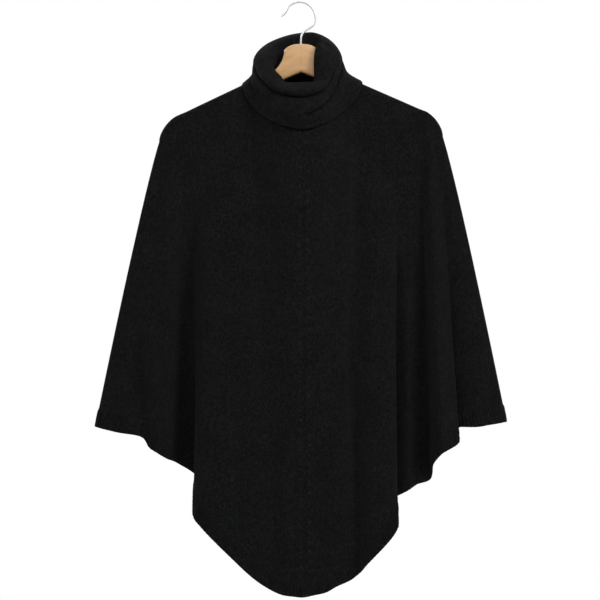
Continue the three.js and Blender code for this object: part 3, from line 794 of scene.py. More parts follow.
@dataclass(frozen=True)
class KnitFinish:
    """Near-black fine knit: stitches with painted shade between them, flecks of lighter fibre and a dull
    sheen.

    Attributes:
        name: Name of the material.
        wale: Width of one column of stitches.
        course: Height of one row of stitches.
        slant: Rows that a leg of a stitch climbs for each column's width.
        leg_dip: How much lower a leg is at its ends than at its middle.
        relief: Depth of the stitches.
        fuzz: Height of the loose fibres beside that of the stitches.
        fuzz_scale: Waves of them a metre.
        dark: Colour of the darkest yarn, and of the painted shade between the stitches.
        base: Colour of most stitches.
        fleck: Colour of the lightest fibres.
        tones: Tones at which those three stand.
        leg_tone: How far the tone differs from leg to leg.
        patch_tone: How far it differs between small patches.
        patch_scale: Waves of them a metre.
        cloud_tone: How far it differs between large patches.
        cloud_scale: Waves of them a metre.
        groove: Painted shade between the stitches: height of a stitch up to which its tone is lowest, height
            from which it is full, lowest share.
        roughness: The surface's roughness.
        shine: Its gloss.
        sheen: Light that loose fibres catch at a low angle.
        sheen_roughness: How wide that spreads.
        line: The fashioning line, if the piece has one.
    """

    name: str
    wale: float = 0.0021
    course: float = 0.0017
    slant: float = 1.7
    leg_dip: float = 0.6
    relief: float = 0.0005
    fuzz: float = 0.35
    fuzz_scale: float = 2600
    dark: tuple[float, float, float] = (0.0018, 0.0019, 0.0020)
    base: tuple[float, float, float] = (0.0062, 0.0063, 0.0065)
    fleck: tuple[float, float, float] = (0.020, 0.020, 0.0205)
    tones: tuple[float, float, float] = (0.18, 0.45, 0.86)
    leg_tone: float = 0.42
    patch_tone: float = 0.34
    patch_scale: float = 150
    cloud_tone: float = 0.16
    cloud_scale: float = 22
    groove: tuple[float, float, float] = (0.05, 0.7, 0.45)
    roughness: float = 0.92
    shine: float = 0.04
    sheen: float = 0.012
    sheen_roughness: float = 0.45
    line: FashioningLine | None = None

    def build(self) -> bpy.types.Material:
        """Makes the material, on the piece's own map of the flat cloth.

        Returns:
            The finished material.
        """
        graph = Graph(self.name)
        cloth = graph.node("ShaderNodeUVMap", uv_map="cloth").outputs[0]
        across, along, _ = graph.split(cloth)
        stitch, identity = self.stitches(graph, across, along)
        patches = graph.noise(cloth, self.patch_scale, detail=3)
        clouds = graph.noise(cloth, self.cloud_scale)
        fuzz = graph.noise(cloth, self.fuzz_scale, roughness=0.7)
        tone = graph.blend((identity, self.leg_tone), (patches, self.patch_tone), (clouds, self.cloud_tone))
        # Painted shade: the tone is darkened where the stitch relief is low, between the stitches.
        low, high, painted_shade_share = self.groove
        tone = graph.sum("MULTIPLY", tone, graph.range(stitch, low, high, painted_shade_share, 1.0))
        relief = graph.sum("ADD", stitch, graph.sum("MULTIPLY", fuzz, self.fuzz))
        if self.line is not None:
            line, dots = self.line.draw(graph, across, along)
            tone = graph.sum("ADD", tone, graph.sum("MULTIPLY", dots, self.line.mark_tone))
            tone = graph.sum("SUBTRACT", tone, graph.sum("MULTIPLY", line, self.line.line_tone))
            groove = graph.sum("MULTIPLY", line, self.line.line_groove)
            relief = graph.sum("ADD", relief, graph.sum("SUBTRACT", dots, groove))
        colour = graph.shade(tone, self.tones, (self.dark, self.base, self.fleck))
        graph.feed(graph.surface.inputs["Base Color"], colour)
        graph.bump(relief, self.relief)
        graph.surface.inputs["Roughness"].default_value = self.roughness
        graph.surface.inputs["Specular IOR Level"].default_value = self.shine
        graph.surface.inputs["Sheen Weight"].default_value = self.sheen
        graph.surface.inputs["Sheen Roughness"].default_value = self.sheen_roughness
        return graph.material

    def stitches(self, graph: Graph, across: Socket, along: Socket) -> tuple[Socket, Socket]:
        """Lays V-shaped stitches in columns.

        Args:
            graph: The material's nodes.
            across: Place across the cloth.
            along: Place along the cloth's height.

        Returns:
            The relief from 0 to 1, and a number of its own for each leg of a stitch.
        """
        columns = graph.sum("DIVIDE", across, self.wale)
        spread = graph.sum("ABSOLUTE", graph.sum("SUBTRACT", graph.sum("FRACT", columns), 0.5))
        climb = graph.sum("MULTIPLY", spread, self.slant)
        rows = graph.sum("SUBTRACT", graph.sum("DIVIDE", along, self.course), climb)
        leg = graph.sum("SUBTRACT", graph.sum("MULTIPLY", spread, 4), 1)
        leg = graph.sum("SUBTRACT", 1, graph.sum("MULTIPLY", leg, leg))
        swell = graph.sum("SUBTRACT", graph.sum("MULTIPLY", graph.sum("FRACT", rows), 2), 1)
        dip = graph.sum("MULTIPLY", graph.sum("MULTIPLY", swell, swell), self.leg_dip)
        leg_column = graph.sum("FLOOR", graph.sum("MULTIPLY", columns, 2))
        identity = graph.speckle(leg_column, graph.sum("FLOOR", rows))
        return graph.sum("MULTIPLY", leg, graph.sum("SUBTRACT", 1, dip)), identity


@dataclass(frozen=True)
class WoodFinish:
    """Light varnished wood, its grain running down both arms from a glued middle.

    Attributes:
        name: Name of the material.
        light: Colour between the bands of grain.
        middle: Colour of most of the wood.
        dark: Colour of the darkest bands.
        tones: Tones at which those three stand.
        arm_slope: Fall of the grain for each metre across.
        stretch: Shares of the distance along the arm and through the board that the grain notices.
        band_tone: Weight of the bands of grain.
        band_scale: Waves of them a metre.
        pore_tone: Weight of the pores.
        pore_scale: Waves of them a metre.
        cloud_tone: Weight of the larger patches.
        cloud_scale: Waves of them a metre.
        joint: Half width of the glue line's core, half width to its outer edge, and how much darker it is.
        relief: Depth of the pores.
        relief_seen: Share of it that shows through the varnish.
        roughness: Roughness of the wood.
        coat: Strength of the varnish.
        coat_roughness: Its roughness.
    """

    name: str = "varnished_wood"
    light: tuple[float, float, float] = (0.48, 0.283, 0.122)
    middle: tuple[float, float, float] = (0.405, 0.224, 0.089)
    dark: tuple[float, float, float] = (0.27, 0.135, 0.05)
    tones: tuple[float, float, float] = (0.34, 0.52, 0.78)
    arm_slope: float = SHOULDERS.slope
    stretch: tuple[float, float] = (0.07, 0.5)
    band_tone: float = 0.55
    band_scale: float = 260
    pore_tone: float = 0.2
    pore_scale: float = 1900
    cloud_tone: float = 0.25
    cloud_scale: float = 30
    joint: tuple[float, float, float] = (0.00015, 0.0005, 0.2)
    relief: float = 0.0001
    relief_seen: float = 0.5
    roughness: float = 0.42
    coat: float = 0.35
    coat_roughness: float = 0.18

    def build(self) -> bpy.types.Material:
        """Makes the material on Object coordinates.

        Returns:
            The finished material.
        """
        graph = Graph(self.name)
        place = graph.node("ShaderNodeTexCoord").outputs["Object"]
        place_x, y, z = graph.split(place)
        x = graph.sum("SUBTRACT", place_x, STEM_X)
        off_middle = graph.sum("ABSOLUTE", x)
        across = graph.sum("ADD", z, graph.sum("MULTIPLY", off_middle, self.arm_slope))
        along_share, through_share = self.stretch
        grain = graph.join(
            graph.sum("MULTIPLY", x, along_share),
            graph.sum("MULTIPLY", y, through_share),
            across,
        )
        bands = graph.noise(grain, self.band_scale, detail=4, roughness=0.6)
        pores = graph.noise(grain, self.pore_scale, roughness=0.6)
        clouds = graph.noise(place, self.cloud_scale)
        tone = graph.blend((bands, self.band_tone), (pores, self.pore_tone), (clouds, self.cloud_tone))
        core, edge, darker = self.joint
        tone = graph.sum("ADD", tone, graph.range(off_middle, core, edge, darker, 0.0))
        colour = graph.shade(tone, self.tones, (self.light, self.middle, self.dark))
        graph.feed(graph.surface.inputs["Base Color"], colour)
        graph.bump(pores, self.relief, self.relief_seen)
        graph.surface.inputs["Roughness"].default_value = self.roughness
        graph.surface.inputs["Coat Weight"].default_value = self.coat
        graph.surface.inputs["Coat Roughness"].default_value = self.coat_roughness
        return graph.material


@dataclass(frozen=True)
class WireFinish:
    """Bright plated steel wire with faint marks of wear.

    Attributes:
        name: Name of the material.
        dull: Colour of its dull places.
        bright: Colour of its bright places.
        tones: Heights of the marks between which dull turns into bright.
        roughness: Roughness of the dull and of the bright places.
        mark_scale: Waves of the marks a metre.
        relief: Their depth.
        relief_seen: Share of it that shows.
        metallic: How metallic the surface is.
    """

    name: str = "plated_wire"
    dull: tuple[float, float, float] = (0.51, 0.5185, 0.5355)
    bright: tuple[float, float, float] = (0.672, 0.6832, 0.7056)
    tones: tuple[float, float] = (0.3, 0.7)
    roughness: tuple[float, float] = (0.34, 0.46)
    mark_scale: float = 900
    relief: float = 0.00001
    relief_seen: float = 0.3
    metallic: float = 0.7

    def build(self) -> bpy.types.Material:
        """Makes the material on Object coordinates.

        Returns:
            The finished material.
        """
        graph = Graph(self.name)
        place = graph.node("ShaderNodeTexCoord").outputs["Object"]
        marks = graph.noise(place, self.mark_scale, detail=3, roughness=0.6)
        colour = graph.shade(marks, self.tones, (self.dull, self.bright))
        graph.feed(graph.surface.inputs["Base Color"], colour)
        graph.feed(graph.surface.inputs["Roughness"], graph.range(marks, *self.tones, *self.roughness))
        graph.bump(marks, self.relief, self.relief_seen)
        graph.surface.inputs["Metallic"].default_value = self.metallic
        return graph.material


@dataclass
class Panel:
    """One side of the poncho: its plain knit down to the ribbed hem, and that hem.

    Attributes:
        side: Front or back.
        lines: Its fold lines, from left to right as the front is seen.
        creases: The small troughs and ridges between them.
        centre: Name of the line that its places round the cloth are counted from.
        edge_points: Points that the lower edge is measured with, to spread columns along it.
        rib_points: Points that it is measured with, to count its ribs.
        slope_step: Share of the width to either side of a column over which the edge's slope is read.
        columns: Points across the plain knit.
        fall_rows: Rows of points from the arm down to the hem's seam.
        crown_degrees: Rows of points over the arm, as degrees round its edge.
        crease_ends: Shares of a crease's height over which it begins and ends.
        seam_margin: Distance from the side seams over which the creases fade out.
        arm_margin: Height below the arms' top at which they begin, and height over which they come in.
        ripple: Unevenness of the hung cloth.
        ripple_size: Size of one swell of it, round the cloth and down it.
        ripple_apart: How far the front's and back's swells are read apart.
        rib_columns: Points across the ribbed hem for each rib.
        rib_rows: Rows of points down the ribbed hem.
        rib_rise: How far a rib stands out of its furrow.
        rib_round: Power of a rib's curve.
        rib_fade: Height over which the ribs flatten towards the seam.
        rib_least: Share of their rise that is left at it.
        rib_reach: Stretch of the edge that the ribs' direction is averaged over.
        hem_overlap: Height of the hem with the strip that laps the knit, as a share of its own.
        hem_flush: Height of the part of that strip which stays outside the knit.
        hem_taper: Height over which the rest goes into the knit.
        hem_lift: How far the hem lies outside the knit.
        hem_sink: How far the strip's top goes in.
    """

    side: Side
    lines: tuple[FallLine, ...]
    creases: tuple[Crease, ...]
    centre: str
    edge_points: int = 4001
    rib_points: int = 1501
    slope_step: float = 0.01
    columns: int = 361
    fall_rows: int = 112
    crown_degrees: tuple[float, ...] = (0, 0.5, 14, 28, 42, 56, 70, 82)
    crease_ends: tuple[float, float] = (0.4, 0.3)
    seam_margin: float = 25
    arm_margin: tuple[float, float] = (60, 120)
    ripple: float = 0.9
    ripple_size: tuple[float, float] = (60, 150)
    ripple_apart: float = 7
    rib_columns: int = 5
    rib_rows: int = 11
    rib_rise: float = 1.6
    rib_round: float = 0.8
    rib_fade: float = 2.5
    rib_least: float = 0.25
    rib_reach: float = 24
    hem_overlap: float = 1.3
    hem_flush: float = 1.6
    hem_taper: float = 5.6
    hem_lift: float = 0.12
    hem_sink: float = 1.0

    def __post_init__(self) -> None:
        """Puts the lines in the order in which the outside is seen, and finds where they start."""
        if self.side is Side.BACK:
            self.lines = tuple(reversed(self.lines))
        names = [line.name for line in self.lines]
        self.last = len(self.lines) - 1
        self.centre_share = names.index(self.centre) / self.last
        starts = np.array([line.start for line in self.lines])
        self.on_neck = np.array([line.at is At.NECK for line in self.lines])
        shoulder = np.stack([starts, 0 * starts, SHOULDERS.height(starts) - WALL / 2], axis=-1)
        neck, neck_outs = self.neck_seam(np.radians(starts))
        self.tops = np.where(self.on_neck[:, None], neck, shoulder)
        self.outs = np.where(self.on_neck, neck_outs, SHOULDERS.out(starts))
        self.starts = SHOULDERS.bend(self.tops, self.outs, self.side, math.pi / 2)

    def neck_seam(self, angles: np.ndarray) -> tuple[np.ndarray, np.ndarray]:
        """Finds the panel's edge at the neck.

        Args:
            angles: Radians round the neck, or nan off it.

        Returns:
            A point for each angle, and how far it still has to go out over the arm.
        """
        points = NECK_SEAM.points(np.nan_to_num(angles), self.side)
        return points, np.maximum(0, ARM_OUT - np.abs(points[:, 1]))

    def field(self, name: str) -> np.ndarray:
        """Reads one column of the table of lines, shaped for sums over rows and columns."""
        return np.array([getattr(line, name) for line in self.lines])[:, None, None]

    def fall(self, shares: np.ndarray, t: np.ndarray) -> np.ndarray:
        """Lays the middle of the hanging cloth, before the neck's own curve.

        Args:
            shares: Place across, from 0 to 1, for each column.
            t: Rows x columns of places down the fall, from 0 to 1.

        Returns:
            Rows x columns x 3 of points.
        """
        fold = np.clip((t - self.field("begins")) / (1 - self.field("begins")), 0, 1)
        start = self.starts[:, None, None, :]
        sideways = t**SPREAD
        swell = 1 - (1 - fold) ** SWELL
        x = start[..., 0] * (1 - sideways) + self.field("hem") * sideways + self.field("lap") * fold**2
        y = start[..., 1] * (1 - swell) + self.side.value * self.field("depth") * swell
        z = start[..., 2] * (1 - t) + self.field("height") * t
        return through(np.stack([x, y, z], axis=-1), shares)

    def edge(self, shares: np.ndarray) -> np.ndarray:
        """Lays the lower edge alone, as a row of points."""
        return self.fall(shares, np.ones((1, len(shares))))[0]

    def neck_angles(self, shares: np.ndarray) -> np.ndarray:
        """Finds how far round the neck each column starts.

        Args:
            shares: Place across for each column.

        Returns:
            Radians, or nan where a column starts at the shoulder.
        """
        places = np.flatnonzero(self.on_neck) / self.last
        degrees = [line.start for line in self.lines if line.at is At.NECK]
        inside = (shares >= places[0] - 1e-9) & (shares <= places[-1] + 1e-9)
        return np.where(inside, np.radians(np.interp(shares, places, degrees)), np.nan)

    def crown(self, shares: np.ndarray) -> np.ndarray:
        """Lays the cloth over the arm and along the neck seam.

        Args:
            shares: Place across for each column.

        Returns:
            Rows x columns x 3 of points.
        """
        angles = self.neck_angles(shares)
        round_neck = ~np.isnan(angles)[:, None]
        neck, neck_outs = self.neck_seam(angles)
        rows = []
        for degrees in self.crown_degrees:
            turn = math.radians(degrees)
            smooth = curve(SHOULDERS.bend(self.tops, self.outs, self.side, turn), shares)
            seam = SHOULDERS.bend(neck, neck_outs, self.side, turn)
            rows.append(np.where(round_neck, seam, smooth))
        return np.stack(rows)

    def surface(self, shares: np.ndarray, t: np.ndarray) -> np.ndarray:
        """Lays the middle of the hanging cloth, with the neck's curve at its top.

        Args:
            shares: Place across for each column.
            t: Rows x columns of places down the fall.

        Returns:
            Rows x columns x 3 of points.
        """
        points = self.fall(shares, t)
        angles = self.neck_angles(shares)
        wanted = SHOULDERS.bend(*self.neck_seam(angles), self.side, math.pi / 2)
        shift = wanted - self.fall(shares, np.zeros((1, len(shares))))[0]
        shift[np.isnan(angles)] = 0
        fade = np.maximum(0, 1 - t / NECK_BLEND) ** 2
        return points + shift[None] * fade[..., None]

    def hem_seam(self, shares: np.ndarray) -> np.ndarray:
        """Finds where the ribbed hem begins.

        Args:
            shares: Place across for each column.

        Returns:
            A place down the fall for each column, from 0 to 1.
        """
        right = self.edge(np.clip(shares + self.slope_step, 0, 1))
        reach = right - self.edge(np.clip(shares - self.slope_step, 0, 1))
        slope = np.minimum(HEM_STEEPEST, np.abs(reach[:, 2]) / np.hypot(reach[:, 0], reach[:, 1]))
        lengths = [abs(line.height - start[2]) for line, start in zip(self.lines, self.starts)]
        length = np.interp(shares * self.last, range(len(lengths)), lengths)
        return 1 - HEM_WIDTH * np.sqrt(1 + slope**2) / length

    def even_shares(self, count: int) -> np.ndarray:
        """Spreads columns evenly along the hem.

        Args:
            count: How many.

        Returns:
            Their places across, from 0 to 1.
        """
        fine = np.linspace(0, 1, self.edge_points)
        walked = walk(self.edge(fine))
        return np.interp(np.linspace(0, walked[-1], count), walked, fine)

    def along_cloth(self, grid: np.ndarray, shares: np.ndarray) -> np.ndarray:
        """Measures round the cloth from the centre line.

        Args:
            grid: Rows x columns x 3 of points.
            shares: Place across for each column.

        Returns:
            Millimetres for each point, negative to the left.
        """
        steps = np.linalg.norm(np.diff(grid[..., :2], axis=1), axis=-1)
        walked = np.concatenate([np.zeros((len(grid), 1)), np.cumsum(steps, axis=1)], axis=1)
        centre = np.array([np.interp(self.centre_share, shares, row) for row in walked])
        return walked - centre[:, None]

    def crease_depth(self, along: np.ndarray, height: np.ndarray) -> np.ndarray:
        """Adds up the small creases and the cloth's unevenness.

        Args:
            along: Millimetres round the cloth of each point.
            height: Height of each point.

        Returns:
            How far each point moves inwards.
        """
        depth = np.zeros_like(along)
        for crease in self.creases:
            middle = crease.along + crease.lean * (crease.top - height)
            shape = np.exp(-(((along - middle) / crease.half_width) ** 2))
            begin, end = (share * (crease.top - crease.bottom) for share in self.crease_ends)
            ends = eased((crease.top - height) / begin) * eased((height - crease.bottom) / end)
            depth += crease.depth * shape * ends
        width, fall = self.ripple_size
        apart = np.full_like(along, self.side.value * self.ripple_apart)
        places = np.stack([along / width, height / fall, apart], axis=-1)
        uneven = [noise.noise(place) for place in places.reshape(-1, 3)]
        return depth + self.ripple * np.reshape(uneven, along.shape)

    def creased(self, grid: np.ndarray, along: np.ndarray) -> np.ndarray:
        """Presses the small creases into a grid, leaving its seams where they are.

        Args:
            grid: Rows x columns x 3 of points.
            along: Millimetres round the cloth of each.

        Returns:
            The moved points.
        """
        from_seam = np.minimum(along - along[:, :1], along[:, -1:] - along)
        below, over = self.arm_margin
        below_arm = eased((SHOULDERS.top - below - grid[..., 2]) / over)
        depth = self.crease_depth(along, grid[..., 2]) * eased(from_seam / self.seam_margin) * below_arm
        return grid - normals_of(grid) * depth[..., None]

    def build_body(self, name: str) -> bpy.types.Object:
        """Makes the plain knit from the shoulder and neck to the hem's seam.

        Args:
            name: Name of the piece.

        Returns:
            The new object.
        """
        shares = self.even_shares(self.columns)
        t = np.linspace(0, 1, self.fall_rows)[:, None] * self.hem_seam(shares)[None]
        grid = np.concatenate([self.crown(shares), self.surface(shares, t)])
        along = self.along_cloth(grid, shares)
        flat = np.stack([along, grid[..., 2]], axis=-1) * MM
        return lay_sheet(name, self.creased(grid, along), flat)

    def rib_places(self, grid: np.ndarray, along: np.ndarray) -> tuple[np.ndarray, np.ndarray]:
        """Finds where each point of the hem lies, with its ribs square to the lower edge.

        Args:
            grid: Rows x columns x 3 of points, the edge in the last row.
            along: Millimetres round the cloth of each.

        Returns:
            Millimetres along the edge, and millimetres up from it, for each point.
        """
        edge = np.stack([along[-1], grid[-1, :, 2]])
        span = max(1, round(self.rib_reach / RIB_PITCH * self.rib_columns))
        kernel = np.ones(span) / span
        padded = np.pad(np.gradient(edge, axis=1), ((0, 0), (span, span)), "edge")
        run, fall = (np.convolve(row, kernel, "same")[span:-span] for row in padded)
        stride = np.hypot(run, fall)
        above = grid[..., 2] - edge[1]
        return walk(edge.T) + above * (fall / stride), above * (run / stride)

    def build_hem(self, name: str) -> bpy.types.Object:
        """Makes the ribbed hem, with the strip by which it laps the knit.

        Args:
            name: Name of the piece.

        Returns:
            The new object.
        """
        fine = self.even_shares(self.rib_points)
        edge = self.surface(fine, np.ones((1, len(fine))))[0]
        ribs = round(walk(edge)[-1] / RIB_PITCH)
        shares = self.even_shares(ribs * self.rib_columns + 1)
        top = 1 - (1 - self.hem_seam(shares)[None]) * self.hem_overlap
        grid = self.surface(shares, top + np.linspace(0, 1, self.rib_rows)[:, None] * (1 - top))
        along = self.along_cloth(grid, shares)
        foot, from_edge = self.rib_places(grid, along)
        grid = self.creased(grid, along)
        rise = self.rib_rise * (0.5 - 0.5 * np.cos(2 * math.pi * foot / RIB_PITCH)) ** self.rib_round
        fade = self.rib_least + (1 - self.rib_least) * eased((HEM_WIDTH - from_edge) / self.rib_fade)
        sunk = eased((from_edge - HEM_WIDTH - self.hem_flush) / self.hem_taper)
        lift = self.hem_lift - self.hem_sink * sunk
        grid = grid + normals_of(grid) * (lift + rise * fade)[..., None]
        return lay_sheet(name, grid, np.stack([foot, from_edge], axis=-1) * MM)


@dataclass
class Collar:
    """The ribbed roll collar, up from the neck seam, over and down to its free edge.

    Attributes:
        sections: Its sections round the neck.
        tucks: The folds round it.
        ribs: Ribs round the neck.
        rib_columns: Points across each rib.
        rows: Rows of points from the seam to the free edge.
        ring_points: Points that the fullest ring is measured with, to spread columns along it.
        rib_rise: How far a rib stands out of its furrow.
        seam_rise: How far the seam stands above the arms at the sides of the neck.
        seam_round: Power of that rise, which keeps it near the sides.
        row_crowding: Power that crowds the rows towards the free edge, when under 1.
        tuck_end: Degrees over which a tuck begins and ends.
        clearance: From the middle of the free edge to the outside of the body.
        front_pull: Most that the free edge bends at the front.
        back_pull: Most that it bends at the back.
        lie_share: Share of the cloth, up from the free edge, that bends down to the body.
    """

    sections: tuple[CollarSection, ...]
    tucks: tuple[Tuck, ...]
    ribs: int = 88
    rib_columns: int = 5
    rows: int = 103
    ring_points: int = 1441
    rib_rise: float = 0.28
    seam_rise: float = 1.3
    seam_round: int = 8
    row_crowding: float = 0.85
    tuck_end: float = 14.0
    clearance: float = 3.6
    front_pull: float = 24.0
    back_pull: float = 9.0
    lie_share: float = 0.3

    def angles(self, count: int) -> np.ndarray:
        """Spreads columns evenly along the fullest ring.

        Args:
            count: How many, the last on top of the first.

        Returns:
            Degrees round the neck.
        """
        fine = np.linspace(0, 360, self.ring_points)
        known = [section.angle for section in self.sections] + [360]
        out = np.interp(fine, known, [section.belly[0] for section in (*self.sections, self.sections[0])])
        turn = np.radians(fine)
        walked = walk(np.stack([out * np.sin(turn), out * np.cos(turn)], axis=-1))
        return np.interp(np.linspace(0, walked[-1], count), walked, fine)

    def seam(self, degrees: np.ndarray) -> np.ndarray:
        """Lays the neck seam under the collar.

        Args:
            degrees: Angle round the neck of each column.

        Returns:
            A point for each column.
        """
        at_back = (degrees > 90) & (degrees < 270)
        front_angle, back_angle = np.radians(degrees), np.radians(180 - degrees)
        front = NECK_SEAM.points(front_angle, Side.FRONT)
        back = NECK_SEAM.points(back_angle, Side.BACK)
        seam = np.where(at_back[:, None], back, front)
        seam[:, 2] += self.seam_rise * np.sin(np.where(at_back, back_angle, front_angle)) ** self.seam_round
        return seam

    def surface(self, degrees: np.ndarray) -> np.ndarray:
        """Lays the middle of the collar's cloth.

        Args:
            degrees: Angle round the neck of each column.

        Returns:
            Rows x columns x 3 of points.
        """
        starts = np.array([section.angle for section in self.sections] + [360])
        shares = np.interp(degrees, starts, np.arange(len(starts))) / len(self.sections)
        table = np.array([section.rings() for section in self.sections], dtype=float)
        turn = np.radians(starts[:-1])[:, None]
        out, height = table[..., 0], table[..., 1]
        knots = np.stack([out * np.sin(turn), -out * np.cos(turn), height], axis=-1)
        spread = np.broadcast_to(knots[:, :, None], (*knots.shape[:2], len(degrees), 3))
        rings = through(spread, shares % 1, closed=True)
        profile = np.concatenate([self.seam(degrees)[None], rings])
        knots = np.broadcast_to(profile[:, :, None], (*profile.shape[:2], self.rows, 3))
        return through(knots, self.row_shares()).transpose(1, 0, 2)

    def row_shares(self) -> np.ndarray:
        """Places the rows down the cloth, closer together where it shows."""
        return np.linspace(0, 1, self.rows) ** self.row_crowding

    def lie_down(self, grid: np.ndarray, bodies: dict[Side, BVHTree]) -> np.ndarray:
        """Bends the turned-down layer until its free edge lies on the body.

        Args:
            grid: The collar's points.
            bodies: The finished panels, for looking up their outside.

        Returns:
            The bent points.
        """
        shift = np.zeros(grid.shape[1])
        for column, (x, y, z) in enumerate(grid[-1]):
            side = Side.FRONT if y < 0 else Side.BACK
            eye = Vector((x * MM + STEM_X, side.value, z * MM))
            hit = bodies[side].ray_cast(eye, Vector((0, -side.value, 0)))[0]
            if hit is not None:
                wanted = hit.y / MM + side.value * self.clearance
                most = self.front_pull if side is Side.FRONT else self.back_pull
                shift[column] = np.clip(side.value * (wanted - y), -most, 0) * side.value
        span = 2 * self.rib_columns + 1
        ring = np.concatenate([shift[-span - 1 : -1], shift, shift[1 : span + 1]])
        shift = np.convolve(ring, np.ones(2 * span + 1) / (2 * span + 1), "valid")
        fade = eased((self.row_shares() - 1 + self.lie_share) / self.lie_share)
        bent = grid.copy()
        bent[..., 1] += shift[None] * fade[:, None]
        return bent

    def tucked(self, grid: np.ndarray, degrees: np.ndarray) -> np.ndarray:
        """Presses the folds into the collar.

        Args:
            grid: The collar's points.
            degrees: Angle round the neck of each column.

        Returns:
            The moved points.
        """
        normals = normals_of(grid, closed=True)
        steps = np.linalg.norm(np.diff(grid, axis=0), axis=-1)
        walked = np.concatenate([np.zeros((1, grid.shape[1])), np.cumsum(steps, axis=0)])
        rings = self.row_shares() * len(self.sections[0].rings())
        depth = np.zeros_like(walked)
        for tuck in self.tucks:
            turns, places = np.array(tuck.path).T
            for around in (degrees, degrees + 360):
                place = np.interp(around, turns, places)
                middle = np.array([np.interp(at, rings, column) for at, column in zip(place, walked.T)])
                from_end = np.minimum(around - turns[0], turns[-1] - around)
                ends = eased(from_end / self.tuck_end)
                depth += tuck.depth * ends * np.exp(-(((walked - middle) / tuck.half_width) ** 2))
        return grid - normals * depth[..., None]

    def build(self, bodies: dict[Side, BVHTree]) -> bpy.types.Object:
        """Makes the collar.

        Args:
            bodies: The finished panels that it lies on.

        Returns:
            The new object.
        """
        degrees = self.angles(self.ribs * self.rib_columns + 1)
        grid = self.tucked(self.lie_down(self.surface(degrees), bodies), degrees)
        turns = np.linspace(0, self.ribs, len(degrees))
        steps = np.linalg.norm(np.diff(grid, axis=0), axis=-1).mean(axis=1)
        walked = np.concatenate([[0], np.cumsum(steps)])
        rise = self.rib_rise * (0.5 - 0.5 * np.cos(2 * math.pi * turns))
        grid = grid + normals_of(grid, closed=True) * rise[None, :, None]
        grid[:, -1] = grid[:, 0]
        flat = np.stack(np.broadcast_arrays(turns[None] * RIB_PITCH, walked[:, None]), axis=-1) * MM
        return lay_sheet("roll_collar", grid, flat)


@dataclass
class Poncho:
    """The knitted garment: two panels, their ribbed hems and the roll collar.

    Attributes:
        body_cut: Flat width and height of a panel, in metres; not used.
        body_area: What of that is cloth, in square metres; not used.
        hem_cut: Flat length and width of a hem band; not used.
        collar_cut: Flat length round and height of the collar; not used.
    """

    body_cut: tuple[float, float] = (0.84, 0.80)
    body_area: float = 0.38
    hem_cut: tuple[float, float] = (1.25, 0.026)
    collar_cut: tuple[float, float] = (0.36, 0.163)

    def build(self) -> None:
        """Makes every piece of cloth and dresses it."""
        plain = KnitFinish("fine_knit").build()
        lined = KnitFinish("fine_knit_front", line=FashioningLine()).build()
        ribbed = KnitFinish("ribbed_knit", wale=RIB_PITCH * MM / 3, relief=0.0004).build()
        panels = (
            (Panel(Side.FRONT, FRONT_LINES, FRONT_CREASES, "centre front"), lined, "front"),
            (Panel(Side.BACK, BACK_LINES, BACK_CREASES, "centre back"), plain, "back"),
        )
        bodies: dict[Side, BVHTree] = {}
        for panel, material, word in panels:
            hem = panel.build_hem(f"{word}_ribbed_hem")
            finish_piece(hem, ribbed, "knit", f"hem_rib_{word}")
            body = panel.build_body(f"{word}_knit")
            finish_piece(body, material, "knit", f"body_{word}")
            bodies[panel.side] = BVHTree.FromObject(body, bpy.context.evaluated_depsgraph_get())
        collar = Collar(COLLAR_SECTIONS, COLLAR_TUCKS).build(bodies)
        finish_piece(collar, ribbed, "knit", "collar")


